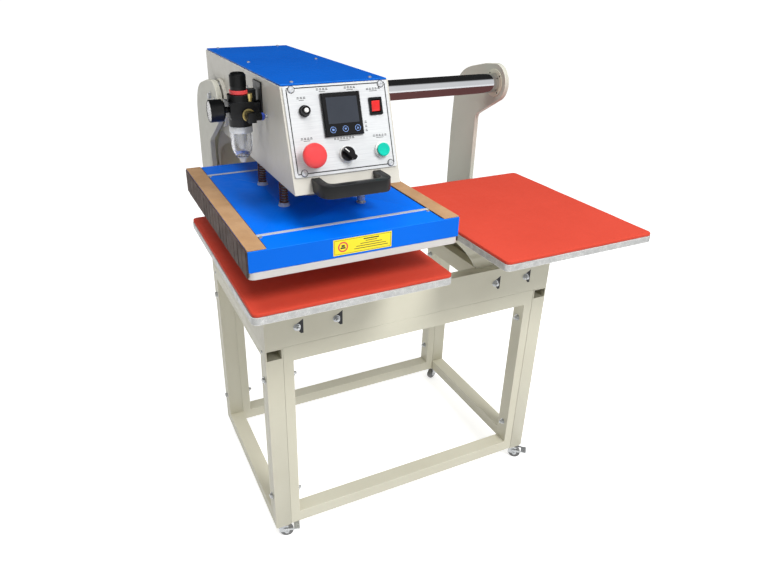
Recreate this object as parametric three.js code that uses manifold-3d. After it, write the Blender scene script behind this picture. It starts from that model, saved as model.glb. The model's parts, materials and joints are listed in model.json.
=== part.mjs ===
// Pneumatic heat press with two work stations and one sliding head.
// Millimetres, +Z up, the operator stands at -Y. The origin is on the floor under the middle.
import * as THREE from 'three';
import { mergeVertices, toCreasedNormals } from 'three/addons/utils/BufferGeometryUtils.js';
import Module from 'manifold-3d';

// ---- overall sizes ----
const PLATEN_X = 400;            // one lower platen, left to right
const PLATEN_Y = 500;            // one lower platen, front to back
const STATION_GAP = 126;         // free space between the two lower platens
const PLATEN_FRONT = -357;       // front edge of the lower platens
const WORK_HEIGHT = 810;         // top of the silicone pads above the floor
const PAD_THICK = 7;
const PLATE_THICK = 15;
const STATION_X = (PLATEN_X + STATION_GAP) / 2;

// ---- stand ----
const CASTER_HEIGHT = 50;        // floor to the underside of the legs
const TUBE = 40;                 // leg section
const POST = 24.4;               // width of the posts that belong to the front and rear frames
const RAIL_LOW = 32;             // height of the bottom rails
const RAIL_TOP = 40;             // height of the front and rear top rails
const SIDE_RAIL = 30;            // height of the side top rails
const END_ROOM = 24;              // head wall to the outside of an upright
const STAND_FRONT = -136;
const STAND_REAR = 357;
const PEDESTAL_HEIGHT = 119;     // deck to the underside of the platens
const DECK_DEPTH = 84;
const DECK_TOP = WORK_HEIGHT - PAD_THICK - PLATE_THICK - PEDESTAL_HEIGHT;
const DECK_BOTTOM = DECK_TOP - DECK_DEPTH;
const SHEET = 4;

// ---- uprights, shaft and carriage ----
const UPRIGHT_THICK = 12;
const COLUMN_FRONT = 234;
const SHAFT_Y = 164;
const SHAFT_RISE = 252;          // shaft above the pads
const SHAFT_Z = WORK_HEIGHT + SHAFT_RISE;
const SHAFT_R = 25;
const CHEEK_R = SHAFT_R + 25;    // round end of an upright around the shaft
const BEARING_R = SHAFT_R + 13;
const FLANGE_R = SHAFT_R + 27;
const RAIL_Y = 300;              // rear guide rail, middle
const RAIL_WIDE = 20;
const RAIL_BOTTOM = DECK_TOP + 21;
const RAIL_TOP_Z = RAIL_BOTTOM + 45;

// ---- head ----
const HEAD_X = 2 - STATION_X;    // head at the left station
const HEAD_HALF = 100;
const HEAD_RISE = 181;           // head above the pads
const HEAD_TALL = 169;
const HEAD_BOTTOM = WORK_HEIGHT + HEAD_RISE;
const HEAD_TOP = HEAD_BOTTOM + HEAD_TALL;
const STAND_X = HEAD_HALF + END_ROOM - HEAD_X;   // half width of stand and deck
const UPRIGHT_IN = STAND_X - UPRIGHT_THICK;
const HEAD_FRONT = -305;         // front edge at the bottom
const HEAD_REAR = 300;
const HEAD_WALL = 4;
const FACE_BACK = 62;            // how far the front leans back ...
const FACE_RISE = 172;           // ... over this rise
const COVER_THICK = 3;

// ---- heating platen ----
const HEAT_HALF = PLATEN_X / 2 + 2;
const HEAT_FRONT = PLATEN_FRONT + 2;
const HEAT_REAR = HEAT_FRONT + PLATEN_Y + 5;
const HEAT_GAP = 63.5;           // open gap above the pads
const HEAT_BOTTOM = WORK_HEIGHT + HEAT_GAP;
const HEAT_PLATE = 13.5;
const HEAT_TALL = 51.5;
const HEAT_TOP = HEAT_BOTTOM + HEAT_TALL;
const STUD_X = 75;               // return springs, each side of the head's middle
const STUD_Y = [-165, -25];
const ROD_Y = -102;

// ---- named clearances ----
const TOUCH = 0.3;               // between two fixed pieces that meet
const RUN = 0.4;                 // between a sliding or turning piece and its hole
const SLOT = 0.6;                // between the guide shoe and its rail

const wasm = await Module();
wasm.setup();

// ---- small solid-modelling helpers ----
function toSolid(geometry) {
  const bare = geometry.clone();
  bare.deleteAttribute('normal');
  bare.deleteAttribute('uv');
  const merged = mergeVertices(bare, 1e-4);
  const mesh = new wasm.Mesh({
    numProp: 3,
    vertProperties: Float32Array.from(merged.attributes.position.array),
    triVerts: Uint32Array.from(merged.index.array),
  });
  mesh.merge();
  return new wasm.Manifold(mesh);
}

function toGeometry(solid) {
  const mesh = solid.getMesh();
  const geometry = new THREE.BufferGeometry();
  const stride = mesh.numProp;
  const points = new Float32Array((mesh.vertProperties.length / stride) * 3);
  for (let i = 0; i < points.length / 3; i += 1) {
    for (let k = 0; k < 3; k += 1) {
      points[i * 3 + k] = mesh.vertProperties[i * stride + k];
    }
  }
  geometry.setAttribute('position', new THREE.BufferAttribute(points, 3));
  geometry.setIndex(new THREE.BufferAttribute(Uint32Array.from(mesh.triVerts), 1));
  return toCreasedNormals(geometry, 0.6);
}

function box(x0, x1, y0, y1, z0, z1) {
  const geometry = new THREE.BoxGeometry(x1 - x0, y1 - y0, z1 - z0);
  geometry.translate((x0 + x1) / 2, (y0 + y1) / 2, (z0 + z1) / 2);
  return toSolid(geometry);
}

const BASES = {
  x: new THREE.Matrix4().makeBasis(
    new THREE.Vector3(0, 1, 0), new THREE.Vector3(0, 0, 1), new THREE.Vector3(1, 0, 0)),
  y: new THREE.Matrix4().makeBasis(
    new THREE.Vector3(0, 0, 1), new THREE.Vector3(1, 0, 0), new THREE.Vector3(0, 1, 0)),
  z: new THREE.Matrix4(),
};

// A flat outline pushed along an axis. The outline is in (Y, Z) for x, (Z, X) for y, (X, Y) for z.
function prism(shape, axis, from, to, segments = 8) {
  const geometry = new THREE.ExtrudeGeometry(shape, {
    depth: to - from, bevelEnabled: false, curveSegments: segments,
  });
  geometry.translate(0, 0, from);
  geometry.applyMatrix4(BASES[axis]);
  return toSolid(geometry);
}

function outline(points) {
  const shape = new THREE.Shape();
  shape.moveTo(points[0][0], points[0][1]);
  for (const point of points.slice(1)) {
    shape.lineTo(point[0], point[1]);
  }
  shape.closePath();
  return shape;
}

function roundedOutline(u0, u1, v0, v1, r) {
  const shape = new THREE.Shape();
  shape.moveTo(u0 + r, v0);
  shape.lineTo(u1 - r, v0);
  shape.absarc(u1 - r, v0 + r, r, -Math.PI / 2, 0, false);
  shape.lineTo(u1, v1 - r);
  shape.absarc(u1 - r, v1 - r, r, 0, Math.PI / 2, false);
  shape.lineTo(u0 + r, v1);
  shape.absarc(u0 + r, v1 - r, r, Math.PI / 2, Math.PI, false);
  shape.lineTo(u0, v0 + r);
  shape.absarc(u0 + r, v0 + r, r, Math.PI, 1.5 * Math.PI, false);
  return shape;
}

// A round bar along an axis, centred on (u, v) of the other two axes in the order prism uses.
function bar(axis, u, v, r, from, to, sides = 20) {
  const geometry = new THREE.CylinderGeometry(r, r, to - from, sides);
  geometry.rotateX(Math.PI / 2);
  geometry.translate(u, v, (from + to) / 2);
  geometry.applyMatrix4(BASES[axis]);
  return toSolid(geometry);
}

// A turned piece. The profile is [radius, height] pairs that start and end on the axis.
function turned(profile, sides = 24) {
  const points = profile.map((p) => new THREE.Vector2(p[0], p[1]));
  const geometry = new THREE.LatheGeometry(points, sides);
  geometry.rotateX(Math.PI / 2);
  return toSolid(geometry);
}

function join(...solids) {
  return solids.reduce((a, b) => a.add(b));
}

function cut(solid, ...tools) {
  return tools.reduce((a, b) => a.subtract(b), solid);
}

function part(name, solid, finish) {
  const mesh = new THREE.Mesh(toGeometry(solid), new THREE.MeshStandardMaterial(finish));
  mesh.name = name;
  return mesh;
}

// ---- finishes ----
const CREAM = { color: 0xd9d5c0, roughness: 0.5, metalness: 0.0 };
const GREY = { color: 0xb9b7ab, roughness: 0.5, metalness: 0.0 };
const BLUE = { color: 0x0a5fd6, roughness: 0.4, metalness: 0.0 };
const RED_PAD = { color: 0xd8482f, roughness: 0.75, metalness: 0.0 };
const ALU = { color: 0xb8b9b8, roughness: 0.4, metalness: 1.0 };
const CHROME = { color: 0xd0d2d4, roughness: 0.12, metalness: 1.0 };
const STEEL = { color: 0x9b9b9a, roughness: 0.35, metalness: 1.0 };
const COPPER = { color: 0x9a5a3c, roughness: 0.4, metalness: 0.9 };
const SILVER = { color: 0xd3d6d8, roughness: 0.4, metalness: 0.3 };
const BLACK = { color: 0x18181a, roughness: 0.45, metalness: 0.0 };
const RED = { color: 0xdf2a2e, roughness: 0.35, metalness: 0.0 };
const GREEN = { color: 0x12a884, roughness: 0.35, metalness: 0.0 };
const WHITE = { color: 0xe9e8e2, roughness: 0.5, metalness: 0.0 };
const TAN = { color: 0xa88662, roughness: 0.85, metalness: 0.0 };
const CLEAR = { color: 0xdfe4e6, roughness: 0.1, metalness: 0.0 };

// ---- stand ----
const LEG_TOP = DECK_BOTTOM - TOUCH - SIDE_RAIL;
const LEG_CENTRE_X = STAND_X - TUBE / 2;
const LEG_CENTRE_Y = [STAND_FRONT + TUBE / 2, STAND_REAR - TUBE / 2];

// A side frame is welded: two legs, a bottom rail and a top rail whose tube ends are open.
function sideFrame(side) {
  const xa = side < 0 ? -STAND_X : STAND_X - TUBE;
  const xb = xa + TUBE;
  const wall = 3;
  const pocket = 70;
  const top = DECK_BOTTOM - TOUCH;
  let frame = box(xa, xb, STAND_FRONT, STAND_REAR, LEG_TOP, top);
  frame = cut(
    frame,
    box(xa + wall, xb - wall, STAND_FRONT - 1, STAND_FRONT + pocket, LEG_TOP + wall, top - wall),
    box(xa + wall, xb - wall, STAND_REAR - pocket, STAND_REAR + 1, LEG_TOP + wall, top - wall),
  );
  frame = join(
    frame,
    box(xa, xb, STAND_FRONT, STAND_FRONT + TUBE, CASTER_HEIGHT, LEG_TOP),
    box(xa, xb, STAND_REAR - TUBE, STAND_REAR, CASTER_HEIGHT, LEG_TOP),
    box(xa, xb, STAND_FRONT + TUBE, STAND_REAR - TUBE, CASTER_HEIGHT, CASTER_HEIGHT + RAIL_LOW),
  );
  for (const y of LEG_CENTRE_Y) {
    const x = side * LEG_CENTRE_X;
    frame = join(
      frame,
      box(x - 18, x + 18, y - 18, y + 18, CASTER_HEIGHT - 4, CASTER_HEIGHT),
      bar('z', x, y, 10, CASTER_HEIGHT - 8, CASTER_HEIGHT - 4),
    );
  }
  return part(side < 0 ? 'left_side_frame' : 'right_side_frame', frame, CREAM);
}

// The front and rear frames are flat welded rectangles bolted between the side frames.
function crossFrame(name, y0) {
  const half = STAND_X - TUBE - TOUCH;
  const top = DECK_BOTTOM - TOUCH;
  const solid = cut(
    box(-half, half, y0, y0 + TUBE, CASTER_HEIGHT, top),
    box(-half + POST, half - POST, y0 - 1, y0 + TUBE + 1,
      CASTER_HEIGHT + RAIL_LOW, top - RAIL_TOP),
  );
  return part(name, solid, CREAM);
}

// The deck is a folded sheet frame, open above and below, with four cross bars for the pedestals.
const FLANGE = 30;
const FLANGE_REAR = 80;
const CROSS_BAR = 30;
const CROSS_BAR_X = [STATION_X - 77, STATION_X + 77];

function deck() {
  let solid = box(-STAND_X, STAND_X, STAND_FRONT, STAND_REAR, DECK_BOTTOM, DECK_TOP);
  const inX = STAND_X - SHEET;
  solid = cut(
    solid,
    box(-inX, inX, STAND_FRONT + SHEET, STAND_REAR - SHEET, DECK_BOTTOM - 1, DECK_TOP - SHEET),
    box(-STAND_X + FLANGE, STAND_X - FLANGE, STAND_FRONT + FLANGE, STAND_REAR - FLANGE_REAR,
      DECK_TOP - SHEET - 1, DECK_TOP + 1),
  );
  for (const side of [-1, 1]) {
    for (const x of CROSS_BAR_X) {
      const xc = side * x;
      solid = join(solid, box(xc - CROSS_BAR / 2, xc + CROSS_BAR / 2,
        STAND_FRONT + 2, STAND_REAR - 2, DECK_TOP - 40, DECK_TOP));
    }
  }
  return part('deck_frame', solid, CREAM);
}

// A pedestal: two cross plates whose sides sweep out in an arc, under one top plate.
function pedestal(side) {
  const x = side * STATION_X;
  const z0 = DECK_TOP + TOUCH;
  const z1 = WORK_HEIGHT - PAD_THICK - PLATE_THICK - TOUCH;
  const foot = 92;
  const wing = 188;
  const shape = new THREE.Shape();
  shape.moveTo(z0, x - foot);
  shape.lineTo(z0, x + foot);
  shape.quadraticCurveTo(z0 + 62, x + foot + 34, z1 - 14, x + wing);
  shape.lineTo(z1, x + wing);
  shape.lineTo(z1, x - wing);
  shape.lineTo(z1 - 14, x - wing);
  shape.quadraticCurveTo(z0 + 62, x - foot - 34, z0, x - foot);
  const front = STAND_FRONT + 24;
  const rear = 96;
  const solid = join(
    prism(shape, 'y', front, front + 8, 10),
    prism(shape, 'y', rear - 8, rear, 10),
    box(x - wing, x + wing, front, rear, z1 - 8, z1),
    box(x - 66, x - 58, front + 4, rear - 4, z0, z1),
    box(x + 58, x + 66, front + 4, rear - 4, z0, z1),
  );
  return part(side < 0 ? 'left_pedestal' : 'right_pedestal', solid, GREY);
}

function lowerPlaten(side) {
  const x = side * STATION_X;
  const y1 = PLATEN_FRONT + PLATEN_Y;
  const plateTop = WORK_HEIGHT - PAD_THICK;
  const edge = roundedOutline(x - PLATEN_X / 2, x + PLATEN_X / 2, PLATEN_FRONT, y1, 12);
  const inner = roundedOutline(x - PLATEN_X / 2 + 0.8, x + PLATEN_X / 2 - 0.8,
    PLATEN_FRONT + 0.8, y1 - 0.8, 11);
  const name = side < 0 ? 'left' : 'right';
  return [
    part(`${name}_platen_plate`, prism(edge, 'z', plateTop - PLATE_THICK, plateTop, 4), ALU),
    part(`${name}_pad`, prism(inner, 'z', plateTop + TOUCH, WORK_HEIGHT, 4), RED_PAD),
  ];
}

// ---- uprights ----
function upright(side) {
  const shape = new THREE.Shape();
  const low = DECK_TOP + TOUCH;
  shape.moveTo(COLUMN_FRONT, low);
  shape.lineTo(COLUMN_FRONT, SHAFT_Z - 107);
  shape.quadraticCurveTo(COLUMN_FRONT, SHAFT_Z - 98, COLUMN_FRONT - 8, SHAFT_Z - 93);
  const start = 1.25 * Math.PI;
  shape.lineTo(SHAFT_Y + CHEEK_R * Math.cos(start + 0.12), SHAFT_Z + CHEEK_R * Math.sin(start + 0.12));
  shape.absarc(SHAFT_Y, SHAFT_Z, CHEEK_R, start + 0.12, Math.PI / 2, true);
  shape.lineTo(210, SHAFT_Z + 45);
  shape.lineTo(270, SHAFT_Z + 31);
  shape.bezierCurveTo(325, SHAFT_Z + 18, 346, SHAFT_Z - 12, 352, SHAFT_Z - 62);
  shape.lineTo(STAND_REAR, SHAFT_Z - 162);
  shape.lineTo(STAND_REAR, low);
  shape.closePath();
  const xa = side < 0 ? -STAND_X : UPRIGHT_IN;
  let solid = prism(shape, 'x', xa, xa + UPRIGHT_THICK, 12);
  const footIn = side < 0 ? -STAND_X : STAND_X - 65;
  solid = join(solid, box(footIn, footIn + 65, 200, STAND_REAR, low, low + 12));
  return part(side < 0 ? 'left_upright' : 'right_upright', solid, CREAM);
}

function guideShaft() {
  const half = UPRIGHT_IN - TOUCH;
  return part('guide_shaft', bar('x', SHAFT_Y, SHAFT_Z, SHAFT_R, -half, half, 32), CHROME);
}

function guideRail() {
  const half = UPRIGHT_IN - TOUCH;
  return part('rear_guide_rail', box(-half, half, RAIL_Y - RAIL_WIDE / 2, RAIL_Y + RAIL_WIDE / 2,
    RAIL_BOTTOM, RAIL_TOP_Z), STEEL);
}

// ---- carriage: bearing tube, rear arm and guide shoe (X is measured from the head's middle) ----
function bearingHousing() {
  const long = HEAD_HALF + 8;
  const flangeIn = HEAD_HALF + TOUCH;
  let solid = join(
    bar('x', SHAFT_Y, SHAFT_Z, BEARING_R, -long, long, 28),
    bar('x', SHAFT_Y, SHAFT_Z, FLANGE_R, flangeIn, long, 32),
    bar('x', SHAFT_Y, SHAFT_Z, FLANGE_R, -long, -flangeIn, 32),
  );
  solid = cut(solid, bar('x', SHAFT_Y, SHAFT_Z, SHAFT_R + RUN, -long - 1, long + 1, 32));
  return part('bearing_housing', solid, STEEL);
}

function carriageArm() {
  const top = HEAD_BOTTOM - TOUCH;
  const low = RAIL_TOP_Z + 8;
  const half = HEAD_HALF + 4;
  const bend = top - 50.7;
  const round = top - 25.7;
  const shape = new THREE.Shape();
  shape.moveTo(low, -half);
  shape.lineTo(bend, -half);
  shape.quadraticCurveTo(round, -half + 2, top, -half + 16);
  shape.lineTo(top, half - 16);
  shape.quadraticCurveTo(round, half - 2, bend, half);
  shape.lineTo(low, half);
  let solid = prism(shape, 'y', 244, 284, 8);
  for (const x of [-75, 75]) {
    const arch = new THREE.Shape();
    arch.moveTo(low + 27, x - 24);
    arch.lineTo(top - 64.7, x - 24);
    arch.absarc(top - 64.7, x, 24, -Math.PI / 2, Math.PI / 2, false);
    arch.lineTo(low + 27, x + 24);
    solid = cut(solid, prism(arch, 'y', 243, 276, 14));
  }
  solid = join(solid, box(-60, 60, 282, RAIL_Y + 30, low, low + 12));
  return part('carriage_arm', solid, GREY);
}

function guideShoe() {
  const solid = cut(
    box(-60, 60, RAIL_Y - 30, RAIL_Y + 30, RAIL_BOTTOM + 10, RAIL_TOP_Z + 8 - TOUCH),
    box(-61, 61, RAIL_Y - RAIL_WIDE / 2 - SLOT, RAIL_Y + RAIL_WIDE / 2 + SLOT,
      RAIL_BOTTOM + 9, RAIL_TOP_Z + SLOT),
  );
  return part('guide_shoe', solid, BLACK);
}

// ---- head ----
const LEAN = FACE_BACK / FACE_RISE;
const PANEL_ANGLE = Math.PI / 2 - Math.atan(LEAN);

function headShell() {
  const topFront = HEAD_FRONT + LEAN * (HEAD_TOP - HEAD_BOTTOM);
  const outer = prism(outline([
    [HEAD_FRONT, HEAD_BOTTOM], [HEAD_REAR, HEAD_BOTTOM], [HEAD_REAR, HEAD_TOP],
    [topFront, HEAD_TOP],
  ]), 'x', -HEAD_HALF, HEAD_HALF);
  const w = HEAD_WALL;
  const lift = HEAD_TOP + 5 - HEAD_BOTTOM;
  const inner = prism(outline([
    [HEAD_FRONT + 1.6 * w, HEAD_BOTTOM + w], [HEAD_REAR - w, HEAD_BOTTOM + w],
    [HEAD_REAR - w, HEAD_BOTTOM + lift], [HEAD_FRONT + w * 1.1 + LEAN * lift, HEAD_BOTTOM + lift],
  ]), 'x', -HEAD_HALF + w, HEAD_HALF - w);
  let solid = cut(outer, inner);
  const window = toSolid(new THREE.BoxGeometry(2 * HEAD_HALF - 20, 136, 40).translate(0, 104, 0)
    .applyMatrix4(panelMatrix()));
  solid = cut(
    solid,
    window,
    bar('x', SHAFT_Y, SHAFT_Z, BEARING_R + TOUCH, -HEAD_HALF - 1, HEAD_HALF + 1, 28),
    bar('z', 0, ROD_Y, 14, HEAD_BOTTOM - 1, HEAD_BOTTOM + w + 1),
  );
  for (const x of [-STUD_X, STUD_X]) {
    for (const y of STUD_Y) {
      solid = cut(solid, bar('z', x, y, 6, HEAD_BOTTOM - 1, HEAD_BOTTOM + w + 1, 16));
    }
  }
  return part('head_shell', solid, GREY);
}

function headCover() {
  const z0 = HEAD_TOP + TOUCH;
  const front = HEAD_FRONT + LEAN * (z0 - HEAD_BOTTOM) + 1;
  const solid = box(-HEAD_HALF + 2, HEAD_HALF - 2, front, HEAD_REAR - 1.5, z0, z0 + COVER_THICK);
  return part('head_top_cover', solid, BLUE);
}

// The front frame of the head: local x is right, y is up the slope, z is out of the face.
function panelMatrix() {
  const m = new THREE.Matrix4().makeRotationX(PANEL_ANGLE);
  m.setPosition(0, HEAD_FRONT, HEAD_BOTTOM);
  return m;
}

const PANEL_Z = 3;               // outer face of the panel above the head's sloping front
const ESTOP = [-64, 61.5];
const SELECTOR = [2, 59.5];
const START = [69, 60];
const CONTROLLER = [2.5, 127];
const ROCKER = [68, 136];
const BUZZER = [-64, 137];
const ESTOP_TRAVEL = 6;
const START_TRAVEL = 3;

function controlPanel() {
  let solid = prism(roundedOutline(4 - HEAD_HALF, HEAD_HALF - 4, 29, 179, 3), 'z', TOUCH, PANEL_Z, 3);
  for (const at of [ESTOP, SELECTOR, START]) {
    solid = cut(solid, bar('z', at[0], at[1], 11.4, -1, PANEL_Z + 1, 20));
  }
  const [cx, cy] = CONTROLLER;
  const [rx, ry] = ROCKER;
  solid = cut(
    solid,
    box(cx - 33.5, cx + 33.5, cy - 33.5, cy + 33.5, -1, PANEL_Z + 1),
    box(rx - 10.5, rx + 10.5, ry - 13, ry + 13, -1, PANEL_Z + 1),
    bar('z', BUZZER[0], BUZZER[1], 6.3, -1, PANEL_Z + 1, 16),
  );
  return part('control_panel', solid, SILVER);
}

function controller() {
  const [cx, cy] = CONTROLLER;
  const solid = join(
    prism(roundedOutline(cx - 36, cx + 36, cy - 36.5, cy + 36.5, 2), 'z',
      PANEL_Z + TOUCH, PANEL_Z + 7, 3),
    box(cx - 33, cx + 33, cy - 33, cy + 33, -38, PANEL_Z + 2),
  );
  return part('temperature_controller', solid, BLACK);
}

function rockerSwitch() {
  const [rx, ry] = ROCKER;
  const bezel = cut(
    join(
      prism(roundedOutline(rx - 12.5, rx + 12.5, ry - 15, ry + 15, 1.5), 'z',
        PANEL_Z + TOUCH, PANEL_Z + 2.5, 3),
      box(rx - 10, rx + 10, ry - 12.5, ry + 12.5, -16, PANEL_Z + 1),
    ),
    box(rx - 8.4, rx + 8.4, ry - 11, ry + 11, -9, PANEL_Z + 5),
  );
  const paddle = prism(outline([
    [ry - 9, PANEL_Z + 0.5], [ry + 9, PANEL_Z + 3.5], [ry + 8.6, PANEL_Z - 1.5],
    [ry + 2, -4.5], [ry - 2, -4.5], [ry - 8.6, PANEL_Z - 4],
  ]), 'x', rx - 7.8, rx + 7.8);
  return [part('rocker_bezel', bezel, BLACK), part('power_rocker', paddle, RED)];
}

// A round control: a ring on the panel with its shank behind, bored for the stem.
function controlRing(name, at, r, rise, finish) {
  const solid = cut(
    join(
      bar('z', at[0], at[1], r, PANEL_Z + TOUCH, PANEL_Z + rise, 24),
      bar('z', at[0], at[1], 11, -20, PANEL_Z + 1, 20),
    ),
    bar('z', at[0], at[1], 7.5 + RUN, -21, PANEL_Z + rise + 1, 24),
    bar('z', at[0], at[1], 10.2 + RUN, -1, PANEL_Z + rise + 1, 24),
  );
  return part(name, solid, finish);
}

function estopButton() {
  const base = PANEL_Z + 12 + ESTOP_TRAVEL;
  const solid = turned([
    [0, -15], [7.5, -15], [7.5, base], [17, base], [20, base + 1.4], [21, base + 4],
    [19, base + 8], [14, base + 10.5], [7, base + 11.7], [0, base + 12],
  ]);
  return part('estop_button', solid.translate([ESTOP[0], ESTOP[1], 0]), RED);
}

function startButton() {
  const base = PANEL_Z + 1;
  const solid = turned([
    [0, -15], [7.5, -15], [7.5, base], [10.2, base], [10.2, base + 7],
    [9.4, base + 7.8], [0, base + 8],
  ]);
  return part('start_button', solid.translate([START[0], START[1], 0]), GREEN);
}

function selectorKnob() {
  const base = PANEL_Z + 5 + RUN;
  const [sx, sy] = SELECTOR;
  const lever = new THREE.ExtrudeGeometry(roundedOutline(-4.5, 4.5, -15, 13, 3), {
    depth: 9, bevelEnabled: false, curveSegments: 4,
  });
  lever.translate(0, 0, base + 4.5);
  lever.rotateZ(Math.PI / 4);
  const solid = join(
    turned([[0, -15], [7.5, -15], [7.5, base], [12.5, base], [12.5, base + 4], [11.5, base + 5],
      [0, base + 5]]),
    toSolid(lever),
  );
  return part('selector_knob', solid.translate([sx, sy, 0]), BLACK);
}

function handle() {
  const z0 = HEAD_BOTTOM + 2;
  const z1 = z0 + 23;
  const deep = 47;
  const outer = new THREE.Shape();
  const back = HEAD_FRONT + 20;
  const front = HEAD_FRONT - deep;
  outer.moveTo(-68, back);
  outer.lineTo(-68, front + 20);
  outer.quadraticCurveTo(-66, front + 4, -50, front);
  outer.lineTo(47, front);
  outer.quadraticCurveTo(62, front + 4, 64, front + 20);
  outer.lineTo(64, back);
  outer.lineTo(48, back);
  outer.lineTo(48, front + 24);
  outer.quadraticCurveTo(46, front + 15, 38, front + 14);
  outer.lineTo(-41, front + 14);
  outer.quadraticCurveTo(-50, front + 15, -52, front + 24);
  outer.lineTo(-52, back);
  const ease = HEAD_FRONT - 2 * TOUCH;
  const head = prism(outline([
    [ease + LEAN * 0, HEAD_BOTTOM], [ease + LEAN * 60, HEAD_BOTTOM + 60],
    [ease + 80, HEAD_BOTTOM + 60], [ease + 80, HEAD_BOTTOM],
  ]), 'x', -90, 90);
  return part('handle', cut(prism(outer, 'z', z0, z1, 6), head), BLACK);
}

// ---- press unit ----
function airCylinder() {
  const z0 = HEAD_BOTTOM + HEAD_WALL + TOUCH;
  const solid = cut(
    join(
      bar('z', 0, ROD_Y, 40, z0, HEAD_BOTTOM + 121, 32),
      box(-45, 45, ROD_Y - 45, ROD_Y + 45, z0, z0 + 14),
      box(-45, 45, ROD_Y - 45, ROD_Y + 45, HEAD_BOTTOM + 111, HEAD_BOTTOM + 125),
    ),
    bar('z', 0, ROD_Y, 12 + 2 * RUN, z0 - 1, HEAD_BOTTOM + 95, 20),
  );
  return part('air_cylinder', solid, ALU);
}

function pistonRod() {
  const solid = join(
    bar('z', 0, ROD_Y, 12, HEAT_TOP + TOUCH, HEAD_BOTTOM + 89, 20),
    bar('z', 0, ROD_Y, 32, HEAT_TOP + TOUCH, HEAT_TOP + 7, 28),
  );
  return part('piston_rod', solid, CHROME);
}

function heatingPlate() {
  const shape = roundedOutline(-HEAT_HALF, HEAT_HALF, HEAT_FRONT, HEAT_REAR, 12);
  return part('heating_plate', prism(shape, 'z', HEAT_BOTTOM, HEAT_BOTTOM + HEAT_PLATE, 4), WHITE);
}

// A folded cover over the heating plate, with the four spring studs screwed through it.
function platenCover() {
  const z0 = HEAT_BOTTOM + HEAT_PLATE + TOUCH;
  const wall = 3;
  const half = HEAT_HALF - 1;
  let solid = cut(
    box(-half, half, HEAT_FRONT + 1, HEAT_REAR - 1, z0, HEAT_TOP),
    box(-half + wall, half - wall, HEAT_FRONT + 1 + wall, HEAT_REAR - 1 - wall,
      z0 - 1, HEAT_TOP - wall),
  );
  for (const x of [-STUD_X, STUD_X]) {
    for (const y of STUD_Y) {
      solid = join(
        solid,
        bar('z', x, y, 4.5, HEAT_TOP - 1, HEAD_BOTTOM + 85, 16),
        bar('z', x, y, 9, HEAD_BOTTOM + 71, HEAD_BOTTOM + 79, 6),
      );
    }
  }
  return part('platen_cover', solid, BLUE);
}

function edgeStrip(side) {
  const outer = side * (HEAT_HALF - 1);
  const inner = side * (HEAT_HALF - 33);
  const solid = box(Math.min(outer, inner), Math.max(outer, inner), HEAT_FRONT + 3, HEAT_REAR - 2,
    HEAT_TOP + TOUCH, HEAT_TOP + TOUCH + 1.5);
  return part(side < 0 ? 'left_edge_strip' : 'right_edge_strip', solid, TAN);
}

function returnSpring(index, x, y) {
  const z0 = HEAT_TOP + TOUCH;
  const z1 = HEAD_BOTTOM - TOUCH;
  const solid = cut(bar('z', x, y, 9, z0, z1, 18), bar('z', x, y, 6, z0 - 1, z1 + 1, 18));
  return part(`return_spring_${index}`, solid, COPPER);
}

// ---- air filter regulator on the head's left wall (X from the head's middle) ----
const FRL_X = -HEAD_HALF - 37;
const FRL_Y = -120;
const FRL_TOP = HEAD_BOTTOM + 131;
const FRL_LOW = FRL_TOP - 35;
const PORT_Z = FRL_LOW + 10;
const GAUGE_Z = FRL_LOW + 17;
const BOWL_LOW = FRL_LOW - 71;

function frlBody() {
  const h = 21.7;
  const solid = join(
    box(FRL_X - h, FRL_X + h, FRL_Y - h, FRL_Y + h, FRL_LOW + 2, FRL_TOP - 3),
    bar('z', FRL_X, FRL_Y, 21.5, FRL_LOW - 12, FRL_TOP + 8.7, 28),
    bar('y', PORT_Z, FRL_X + 9, 9, FRL_Y - 25, FRL_Y, 20),
  );
  return part('regulator_body', solid, BLACK);
}

function frlBracket() {
  const wall = -HEAD_HALF - TOUCH;
  const solid = join(
    box(wall - 3, wall, FRL_Y - 24, FRL_Y + 24, FRL_LOW + 5, FRL_TOP + 30),
    box(FRL_X + 21.7 + TOUCH, wall - 1, FRL_Y - 16, FRL_Y + 16, FRL_LOW + 9, FRL_LOW + 29),
  );
  return part('regulator_bracket', solid, BLACK);
}

function regulatorKnob() {
  const z0 = FRL_TOP + 9;
  const solid = turned([
    [0, z0], [16, z0], [16.5, z0 + 1], [16.5, z0 + 7], [15.5, z0 + 8.5], [15, z0 + 35],
    [13.5, z0 + 37], [0, z0 + 37],
  ]);
  return part('regulator_knob', solid.translate([FRL_X, FRL_Y, 0]), BLACK);
}

function gauge() {
  const rear = FRL_X - 21.7 - TOUCH;
  const front = rear - 34;
  const body = cut(
    join(
      bar('x', FRL_Y, GAUGE_Z, 20, front, rear - 7, 32),
      bar('x', FRL_Y, GAUGE_Z, 6.5, rear - 8, rear, 16),
    ),
    bar('x', FRL_Y, GAUGE_Z, 18, front - 1, front + 4, 32),
  );
  const needle = join(
    bar('x', FRL_Y, GAUGE_Z, 2.4, front + 1.5, front + 3.6, 14),
    prism(outline([
      [FRL_Y + 1.2, GAUGE_Z - 4], [FRL_Y + 1.2, GAUGE_Z + 4], [FRL_Y + 0.4, GAUGE_Z + 15],
      [FRL_Y - 0.4, GAUGE_Z + 15], [FRL_Y - 1.2, GAUGE_Z + 4], [FRL_Y - 1.2, GAUGE_Z - 4],
    ]), 'x', front + 2, front + 3),
  );
  const turn = needle
    .translate([0, -FRL_Y, -GAUGE_Z])
    .rotate([-135, 0, 0])
    .translate([0, FRL_Y, GAUGE_Z]);
  return [part('gauge_body', body, BLACK), part('gauge_needle', turn, BLACK)];
}

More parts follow.
